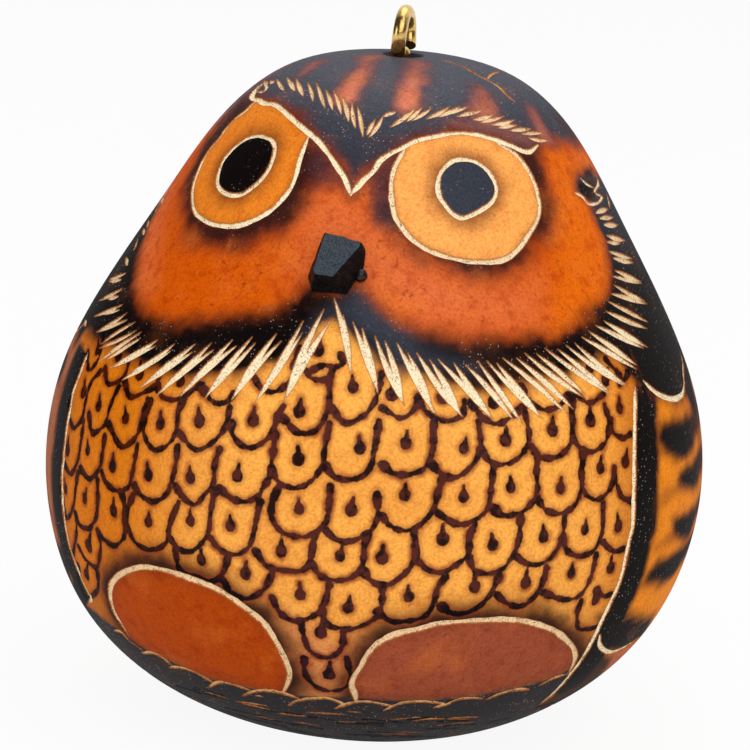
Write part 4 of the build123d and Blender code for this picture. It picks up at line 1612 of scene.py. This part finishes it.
def makeBeak():
    # The CAD chip with its knife-cut edges softened and its faces roughened
    work = bmesh.new()
    work.from_mesh(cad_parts["beak"].data)
    bmesh.ops.remove_doubles(work, verts=work.verts, dist=0.00001)
    bmesh.ops.recalc_face_normals(work, faces=work.faces)
    bmesh.ops.dissolve_limit(work, angle_limit=math.radians(1), verts=work.verts, edges=work.edges)
    crown = max((f for f in work.faces if f.normal.y < -0.3 and f.normal.z > 0), key=lambda f: f.calc_area())
    crown = crown.normal.copy()
    bmesh.ops.bevel(work, geom=list(work.edges) + list(work.verts), offset=beakShape["edge"] * mm,
                    affect="EDGES", segments=beakShape["edgeSteps"], profile=0.5, material=-1,
                    clamp_overlap=True)
    bmesh.ops.triangulate(work, faces=work.faces)
    for _ in range(beakShape["splits"]):
        long = [e for e in work.edges if e.calc_length() > beakShape["longest"] * mm]
        bmesh.ops.subdivide_edges(work, edges=long, cuts=1)
        bmesh.ops.triangulate(work, faces=work.faces)
    work.normal_update()
    low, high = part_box("beak")
    none, whole = beakShape["crownAlike"]
    # Painted highlight: corners facing like the top facet are marked for a lighter, bluer colour
    crownLayer = work.verts.layers.float.new("crown")
    for corner in work.verts:
        corner[crownLayer] = min(max((corner.normal.dot(crown) - none) / (whole - none), 0), 1)
        place = corner.co / mm
        bumps = noise.noise(place / beakShape["coarseGrain"])
        bumps += 0.5 * noise.noise(place / beakShape["fineGrain"])
        moved = corner.co + corner.normal * bumps * beakShape["roughness"] * mm
        corner.co = Vector([min(max(moved[i], low[i]), high[i]) for i in range(3)])
    return addPiece(work, "beakChip", "beak", "gourd")


def beakFinish(beak):
    finish = Finish("blackChipWithPaintedHighlight")
    worn = finish.times(finish.scaled(finish.grain(0.16, 2, 0.7), 0.56, 0.72),
                        finish.scaled(finish.grain(0.8), 0.42, 0.62), 0.35)
    colour = finish.mix(finish.scaled(finish.grain(0.5, 4), 0.3, 0.7), beakShape["dark"], beakShape["light"])
    fibres = finish.scaled(finish.grain(0.13, 3, 0.7, (1, 1, 0.5)), 0.36, 0.64)
    # Painted highlight: the top facet grey-blue against the black
    crown = finish.mix(fibres, beakShape["crownDark"], beakShape["crownLight"])
    colour = finish.mix(finish.attribute("crown"), colour, crown)
    finish.shade("Base Color", finish.mix(worn, colour, beakShape["worn"]))
    finish.shade("Roughness", finish.scaled(finish.grain(0.4), 0.3, 0.7, 0.42, 0.62))
    finish.shade("Specular IOR Level", 0.10)
    finish.bump(finish.grain(0.22, 4, 0.7, (1, 1, 0.35)), depth=0.12, strength=0.9)
    finish.wear(beak)


beakFinish(makeBeak())
print("beak made")


def glueFinish():
    finish = Finish("hardGlue")
    clouds = finish.scaled(finish.grain(0.5), 0.35, 0.65)
    finish.shade("Base Color", finish.mix(clouds, (8, 6, 6), (26, 16, 14)))
    finish.shade("Roughness", finish.scaled(finish.grain(0.4), 0.3, 0.7, 0.16, 0.30))
    finish.shade("Specular IOR Level", 0.35)
    finish.bump(finish.grain(0.6), depth=0.05, strength=0.5)
    finish.wear(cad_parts["beak_glue"])


def brassFinish():
    finish = Finish("brightBrass")
    tarnish = finish.times(finish.scaled(finish.grain(1.1, 4, 0.6), 0.50, 0.74), 0.8)
    bright = finish.mix(finish.grain(0.5), (214, 172, 92), (236, 204, 132))
    finish.shade("Base Color", finish.mix(tarnish, bright, (120, 74, 26)))
    finish.shade("Metallic", 1.0)
    finish.shade("Roughness", finish.scaled(finish.grain(0.35, 3), 0.3, 0.7, 0.14, 0.30))
    finish.bump(finish.grain(0.7, 3, 0.6, (1, 1, 0.6)), depth=0.05, strength=0.6)
    finish.wear(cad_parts["screw_eye"])


def seedFinish():
    finish = Finish("drySeedCoat")
    finish.shade("Base Color", finish.mix(finish.grain(1.6, 4), (196, 164, 116), (150, 112, 70)))
    finish.shade("Roughness", 0.75)
    finish.bump(finish.grain(0.3, 4, 0.7, (1, 3, 1)), depth=0.05, strength=0.6)
    finish.wear(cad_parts["dried_seeds"])


glueFinish()
brassFinish()
seedFinish()
print("finishes made")


# The studio's sizes and places are metres
studio = {
    "floorSize": 3.0,
    "floorShade": (0.94, 0.94, 0.94, 1),
    "floorGlow": 0.92,
    "skyOnObject": 0.52,
    "roomGloss": 0.06,        # what the sheen sees in front, where the room is dim
    "brightSide": (0.12, 0.80, 0.58),
    "brightEdge": (0.25, 0.85),
    "aim": (0, 0, 0.036),
    # Name, place, size and watts
    "lamps": [
        ("keyLamp", (0.23, -0.43, 0.42), 0.66, 2.2),
        ("topLamp", (0.02, 0.12, 0.60), 0.50, 0.9),
        ("fillLamp", (-0.46, -0.34, 0.16), 0.24, 0.45),
    ],
}


def seenShare(wiring, path, *kinds):
    # 1 for what the camera sees, also by the other kinds of ray
    share = path.outputs["Is Camera Ray"]
    for kind in kinds:
        share = wiring.math("MAXIMUM", share, path.outputs[kind])
    return share


def addFloor():
    work = bmesh.new()
    bmesh.ops.create_grid(work, x_segments=4, y_segments=4, size=studio["floorSize"] / 2)
    floor = addObject("floor", meshFrom(work, "floor"))
    finish = Finish("paleFloor")
    finish.shade("Base Color", studio["floorShade"])
    finish.shade("Roughness", 0.9)
    finish.shade("Specular IOR Level", 0.0)
    mixer = finish.node("ShaderNodeMixShader")
    seen = seenShare(finish, finish.node("ShaderNodeLightPath"), "Is Glossy Ray", "Is Transmission Ray")
    finish.feed(mixer.inputs["Fac"], finish.times(seen, studio["floorGlow"]))
    finish.feed(mixer.inputs[1], finish.shader.outputs[0])
    finish.feed(mixer.inputs[2], finish.node("ShaderNodeEmission").outputs[0])
    finish.feed(finish.tree.nodes["Material Output"].inputs["Surface"], mixer.outputs[0])
    finish.wear(floor)


def addSky():
    # White behind and above the gourd; the room in front is dim, so the charred rind stays dark
    world = bpy.data.worlds.new("studioSky")
    world.use_nodes = True
    wiring = Wiring(world.node_tree)
    sky = wiring.tree.nodes["Background"]
    sky.inputs["Color"].default_value = (1, 1, 1, 1)
    path = wiring.node("ShaderNodeLightPath")
    facing = wiring.node("ShaderNodeVectorMath", operation="DOT_PRODUCT")
    wiring.feed(facing.inputs[0], wiring.node("ShaderNodeTexCoord").outputs["Generated"])
    wiring.feed(facing.inputs[1], studio["brightSide"])
    gloss = wiring.scaled(facing.outputs["Value"], *studio["brightEdge"], studio["roomGloss"])
    lit = wiring.blend(path.outputs["Is Glossy Ray"], studio["skyOnObject"], gloss)
    seen = seenShare(wiring, path, "Is Transmission Ray")
    wiring.feed(sky.inputs["Strength"], wiring.blend(seen, lit, 1.0))
    bpy.context.scene.world = world


def addLamps():
    for name, place, size, watts in studio["lamps"]:
        light = bpy.data.lights.new(name, "AREA")
        light.size = size
        light.energy = watts
        lamp = addObject(name, light)
        lamp.location = place
        aim = Vector(studio["aim"]) - Vector(place)
        lamp.rotation_euler = aim.to_track_quat("-Z", "Y").to_euler()


addFloor()
addSky()
addLamps()
bpy.context.scene.view_settings.view_transform = "Standard"
print("studio set")
